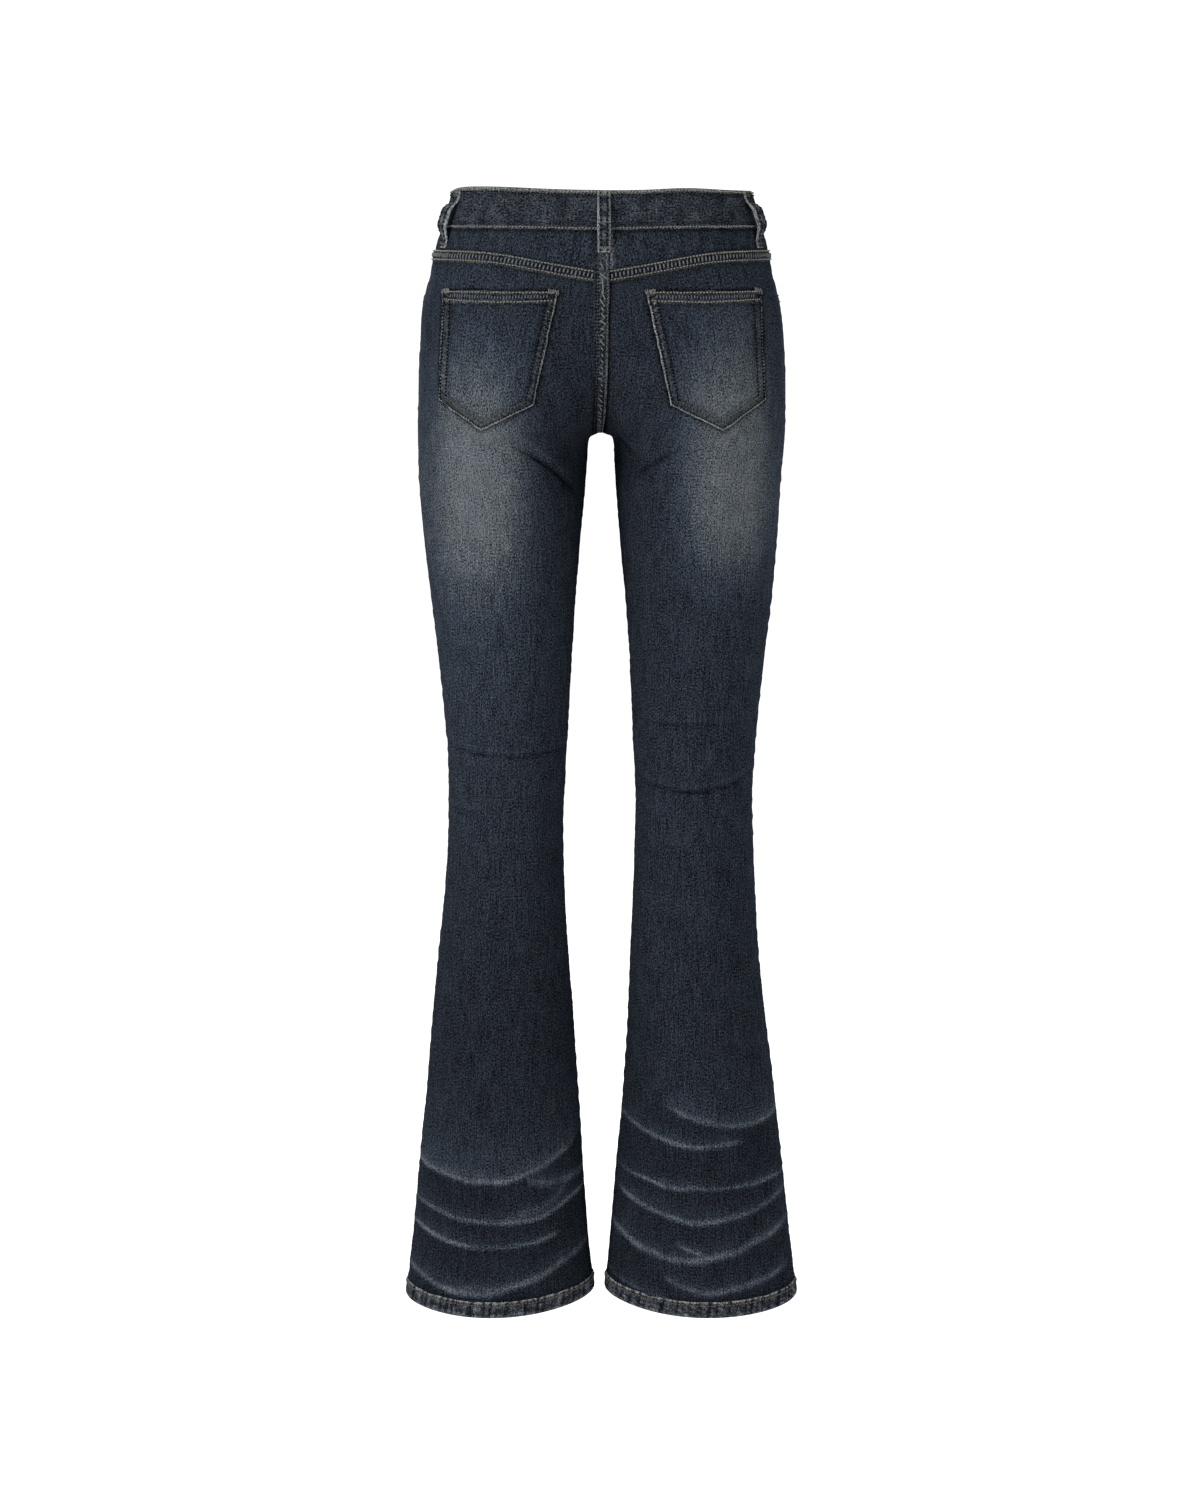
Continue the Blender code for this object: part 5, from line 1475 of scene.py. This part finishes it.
def seam_sewing():
    """Topstitching of the yoke, the seat, the pocket mouths and the fly."""
    above_seat = np.array(0.07)
    for side in (LEFT, RIGHT):
        name = SIDE_NAME[side]
        past = seat_angle(LEFT, above_seat, SEAT_EDGE) if side == LEFT else seat_shift(above_seat)
        turns = np.linspace(pi + 0.01, 2 * pi - past - 0.01, 300)
        for number, (below, thick) in enumerate(FELL_ROWS):
            row = path_on(side, turns, yoke_line(side, turns, below), LAP + 0.0003)
            stitches(f"yoke_{name}_sewing_{number + 1}", [row], GOLD, thick=thick, uneven=0.3)
        row = path_on(side, turns, yoke_line(side, turns, FELL_MIDDLE), LAP)
        ribbed = {"length": 0.0052, "thick": 0.0017, "pitch": 0.0036, "skew": RIBS_ACROSS}
        stitches(f"yoke_{name}_ribs", [row], RIB, uneven=0.6, **ribbed)
        turns = np.linspace(MOUTH_START + 0.02, pi - 0.02, 260)
        rows = []
        for below in MOUTH_ROWS:
            falls = mouth_line(side, np.clip(turns + below * 4, None, pi)) + below
            rows.append(path_on(side, turns, falls, 0.0008))
        stitches(f"pocket_mouth_{name}_sewing", rows, GOLD)
    falls = np.linspace(YOKE_SIDE_DROP + YOKE_V_DEPTH + 0.001, RISE - 0.003, 240)
    # The seat: distance from the strip's edge, thread, length, thickness, pitch, skew, uneven, lift
    seat_rows = (
        (0.0012, OLIVE, 0.0019, 0.0010, THREAD_PITCH, 0.0, 0.3, 0.0003),
        (0.0092, DARK, 0.0020, 0.0014, THREAD_PITCH, 0.0, 0.3, 0.0003),
        (0.0116, DARK, 0.0020, 0.0014, THREAD_PITCH, 0.0, 0.3, 0.0003),
        (0.0054, STREAK, 0.0086, 0.0013, 0.0058, 0.75, 1.0, 0.0),
    )
    for number, (inset, thread, *shape, lift) in enumerate(seat_rows):
        past = strip_edge(falls) - inset
        off = np.abs(past)
        turn = np.where(past > 0, seat_angle(RIGHT, falls, off), -seat_angle(LEFT, falls, off))
        row = path_on(LEFT, 2 * pi + turn, falls, LAP + lift)
        stitches(f"seat_sewing_{number + 1}", [row], thread, *shape)
    # The fly: two rows that run straight down its outer edge, then curve in to the centre front.
    part = np.linspace(0, 1, 300)
    straight = part < FLY_STRAIGHT
    curve = pi / 2 * ease(FLY_STRAIGHT, 1.0, part)
    start = FRONT_DIP + BAND_HEIGHT + 0.021
    down = FRONT_DIP + BAND_HEIGHT + 0.001 + part / FLY_STRAIGHT * 0.020
    rows = []
    for inset in (0.0, 0.0060):
        reach = FLY_STITCH_ACROSS - inset
        foot = FLY_BOTTOM_DROP - 0.004 - inset
        level = np.where(straight, down, start + (foot - start) * np.sin(curve))
        across = np.where(straight, reach, 0.003 + (reach - 0.003) * np.cos(curve))
        turn = 2 * np.arcsin(across / figure("side_left", level))
        rows.append(path_on(LEFT, turn, drop_at_level(LEFT, turn, level), 0.0009))
    stitches("fly_sewing", rows, GOLD)


# ---------------------------------------------------------------- fly, zip and button


def front_place(across, level):
    """The cloth's point near the centre front, and the way out of it."""
    angle = 2 * np.arcsin(across / figure("side_left", level))
    drop = drop_at_level(LEFT, angle, level)
    return surface(LEFT, angle, drop), normals(LEFT, angle, drop)


def turned_piece(name, profile, place, out, material, steps=40):
    """A body turned about an axis: the profile's (radius, height) rows carried round it."""
    profile = np.array(profile)
    turn = 2 * pi * np.arange(steps) / steps
    side = unit(np.cross(out, (0.0, 0.0, 1.0)))
    up = np.cross(side, out)
    ring = np.cos(turn)[:, None] * side + np.sin(turn)[:, None] * up
    body = profile[1:-1]
    points = place + body[:, None, 1, None] * out + body[:, None, 0, None] * ring[None]
    number = np.arange(len(body) * steps).reshape(len(body), steps)
    number = close_ring(number)
    quads = grid_faces(number)
    low, high = len(body) * steps, len(body) * steps + 1
    caps = [np.stack([np.full(steps, low), number[0, :-1], number[0, 1:]], -1)]
    caps.append(np.stack([np.full(steps, high), number[-1, 1:], number[-1, :-1]], -1))
    ends = np.stack([place + profile[0, 1] * out, place + profile[-1, 1] * out])
    points = np.concatenate([points.reshape(-1, 3), ends])
    piece = make_mesh(name, points, quads, np.concatenate(caps))
    piece.data.materials.append(material)
    return piece


def make_button():
    """A plain shank button: a rolled rim, a sunk ring and a low dome, over its buttonhole's thread."""
    point, out = front_place(BUTTON_ACROSS, FRONT_DIP + BAND_HEIGHT / 2)
    place = point + out * BAND_STANDS
    turns = np.linspace(-pi / 2, pi * 0.75, 9)
    rim = [(0.0085 + 0.0007 * cos(a), 0.0013 + 0.0009 * sin(a)) for a in turns]
    turns = np.linspace(0.0, pi / 2 - 0.12, 7)
    dome = [(0.0062 * cos(a), 0.0016 + 0.0011 * sin(a)) for a in turns]
    shank = [(0, -0.0036), (0.0028, -0.0036), (0.0028, 0.0002), (0.0070, 0.0003)]
    profile = [*shank, *rim, (0.0070, 0.0014), *dome, (0, 0.0027)]
    button = turned_piece("button_head", profile, place, out, BRASS)
    finish_piece(button, "waist_button")
    turn = np.linspace(0, 2 * pi, 120)[:, None]
    side = unit(np.cross(out, (0.0, 0.0, 1.0)))
    up = np.cross(side, out)
    oval = place + side * (np.cos(turn) * 0.0095) + up * (np.sin(turn) * 0.0042) + out * 0.0002
    row = (oval, np.tile(out, (len(turn), 1)))
    shape = {"length": 0.0026, "thick": 0.0006, "pitch": 0.0009, "skew": 6.0}
    stitches("buttonhole_sewing", [row], TAN, **shape)


def front_grid(across, level, set_out_at):
    """A grid of points near the centre front and the way out of it: columns at these distances
    across, set out at one level, and rows at these levels."""
    turn = np.tile(2 * np.arcsin(across / figure("side_left", set_out_at)), (len(level), 1))
    drop = drop_at_level(LEFT, turn, np.broadcast_to(level[:, None], turn.shape))
    return surface(LEFT, turn, drop), normals(LEFT, turn, drop)


def make_fly():
    """The shield behind the zip, the zip's tape and teeth, and the body of its slider."""
    shield_top = FRONT_DIP + BAND_HEIGHT
    across = np.linspace(-0.012, 0.036, 30)
    level = np.linspace(shield_top - 0.001, FLY_BOTTOM_DROP, 50)
    base, out = front_grid(across, level, (shield_top + FLY_BOTTOM_DROP) / 2)
    face, reverse = base - out * 0.0069, base - out * 0.0091
    # The shield's cloth is a tenth darker: painted shade behind the fly.
    cloth_node("fly_shield", "cloth", face, reverse, (0.04, 0.1, 0.9), (0.050, 0.085))

    top_level = shield_top + 0.016
    across = ZIP_ACROSS + np.linspace(-0.013, 0.013, 14)
    level = np.linspace(top_level, FLY_BOTTOM_DROP - 0.012, 40)
    base, out = front_grid(across, level, top_level)
    tape = cloth_piece("zip_tapes", base - out * 0.0036, base - out * 0.0043, (TAPE, TAPE))
    finish_piece(tape, "fly_zip")
    level = np.arange(top_level + 0.008, FLY_BOTTOM_DROP - 0.014, 0.0013)
    places, outs = front_place(ZIP_ACROSS, level)
    shifted = places + np.where(np.arange(len(level)) % 2, 1, -1)[:, None] * np.array([0.0011, 0, 0])
    tooth = np.array([(x, y, z) for x in (-1, 1) for y in (-1, 1) for z in (-1, 1)])
    tooth = tooth * (0.0014, 0.0008, 0.00042)
    corners = shifted[:, None] - outs[:, None] * 0.0031 + tooth[None]
    box = np.array([(0, 1, 3, 2), (4, 6, 7, 5), (0, 4, 5, 1), (2, 3, 7, 6), (0, 2, 6, 4), (1, 5, 7, 3)])
    quads = (box[None] + np.arange(len(level))[:, None, None] * 8).reshape(-1, 4)
    teeth = make_mesh("zip_teeth", corners.reshape(-1, 3), quads, smooth=False)
    teeth.data.materials.append(BRASS)
    finish_piece(teeth)

    # The slider: a rounded box profile carried down its length, narrower toward its foot.
    point, out = front_place(ZIP_ACROSS, top_level - 0.0055)
    centre = point - out * 0.0044
    side = unit(np.cross(out, (0.0, 0.0, 1.0)))
    up = np.cross(side, out)
    along = np.linspace(-1, 1, 18)[:, None]
    around = np.linspace(0, 2 * pi, 25)[None, :-1]
    wide = 0.0041 * (1 - 0.22 * along**2) * (1 + 0.10 * along)
    deep = 0.0016 * np.sqrt(np.clip(1 - np.abs(along) ** 6, 0.02, 1))
    bend = np.sign(np.cos(around)) * np.abs(np.cos(around)) ** 0.5
    lift = np.sign(np.sin(around)) * np.abs(np.sin(around)) ** 0.5
    points = centre + (wide * bend)[..., None] * side + (deep * lift)[..., None] * out
    points = points + (0.0044 * along + 0 * around)[..., None] * up
    number = np.arange(points[..., 0].size).reshape(points.shape[:2])
    number = close_ring(number)
    low = np.array([number[0, :-1][[0] * 22], number[0, 1:23], number[0, 2:24]]).T
    high = np.array([number[-1, :-1][[0] * 22], number[-1, 2:24], number[-1, 1:23]]).T
    caps = np.concatenate([low, high])
    slider = make_mesh("zip_slider_body", points.reshape(-1, 3), grid_faces(number), caps)
    slider.data.materials.append(BRASS)
    finish_piece(slider, "zip_slider")


# ---------------------------------------------------------------- the whole garment

for side in (LEFT, RIGHT):
    make_back(side)
    make_front(side)
    make_yoke(side)
    make_hem(side)
    make_pocket(side)
    make_facing(side)
make_waistband()
for name, (side, degrees, length, stand_off, edge_more) in LOOPS.items():
    make_loop(name, side, degrees, length, stand_off, edge_more)
seam_sewing()
make_button()
make_fly()


# ---------------------------------------------------------------- studio

CAMERA_PLACE = (0.00183, 3.10, -0.0132)
CAMERA_TILT = 8.9185
FOCAL_PIXELS = 3349.63
IMAGE_HEIGHT = 1500
FLOOR_DROP = 1.38


def make_stage():
    """A pale floor that rises into a round wall far off: a profile carried round the upright axis."""
    turn = np.linspace(0, 2 * pi, 97)[:-1]
    reach = np.array([0.5, 3.0, 7.0, 9.0, 10.4, 11.2, 11.6, 11.6])
    height = np.array([0, 0, 0, 0.15, 0.7, 1.8, 3.2, 4.8]) - FLOOR_DROP
    ring = np.stack([np.cos(turn), np.sin(turn), 0 * turn], -1)
    points = reach[:, None, None] * ring + height[:, None, None] * np.array([0, 0, 1.0])
    number = np.arange(len(reach) * len(turn)).reshape(len(reach), len(turn))
    number = close_ring(number)
    centre = np.full(len(turn), len(reach) * len(turn))
    disc = np.stack([centre, number[0, :-1], number[0, 1:]], -1)
    points = np.concatenate([points.reshape(-1, 3), [[0, 0, -FLOOR_DROP]]])
    floor = make_mesh("studio_floor", points, grid_faces(number), disc)
    shader = Shader("studio_paint", 0.9, Base_Color=(0.25, 0.25, 0.25, 1), Specular_IOR_Level=0.0)
    shader.surface.inputs["Emission Color"].default_value = (1, 1, 1, 1)
    shader.surface.inputs["Emission Strength"].default_value = 0.97
    floor.data.materials.append(shader.material)


def add_lamp(name, place, aim, size, power):
    """A square soft lamp that faces a point."""
    lamp = bpy.data.lights.new(name, "AREA")
    lamp.shape = "SQUARE"
    lamp.size = size
    lamp.energy = power
    held = bpy.data.objects.new(name, lamp)
    bpy.context.scene.collection.objects.link(held)
    way = unit(np.array(place, float) - np.array(aim, float))
    across = unit(np.cross((0, 0, 1), way))
    up = np.cross(way, across)
    held.rotation_euler = Matrix(np.stack([across, up, way], 1).tolist()).to_euler()
    held.location = place


def make_camera():
    """The photograph's camera, which looks at the back from a little above."""
    camera = bpy.data.cameras.new("camera")
    camera.sensor_fit = "VERTICAL"
    camera.sensor_height = 36
    camera.sensor_width = 36
    camera.lens = FOCAL_PIXELS * 36 / IMAGE_HEIGHT
    held = bpy.data.objects.new("camera", camera)
    bpy.context.scene.collection.objects.link(held)
    held.location = CAMERA_PLACE
    held.rotation_euler = (radians(90 - CAMERA_TILT), 0, radians(180))
    bpy.context.scene.camera = held


make_stage()
make_camera()
AIM = (0, 0, -0.45)
add_lamp("key", (2.6, 2.2, 1.6), AIM, 1.3, 175)
add_lamp("fill", (-2.7, 2.1, 0.6), AIM, 1.6, 36)
add_lamp("front_key", (0.7, -3.2, 1.6), AIM, 1.3, 150)
add_lamp("front_fill", (-2.6, -1.9, 0.5), AIM, 1.6, 30)
world = bpy.data.worlds.new("studio")
world.use_nodes = True
world.node_tree.nodes["Background"].inputs[0].default_value = (1, 1, 1, 1)
world.node_tree.nodes["Background"].inputs[1].default_value = 0.3
bpy.context.scene.world = world
bpy.context.scene.view_settings.view_transform = "Standard"
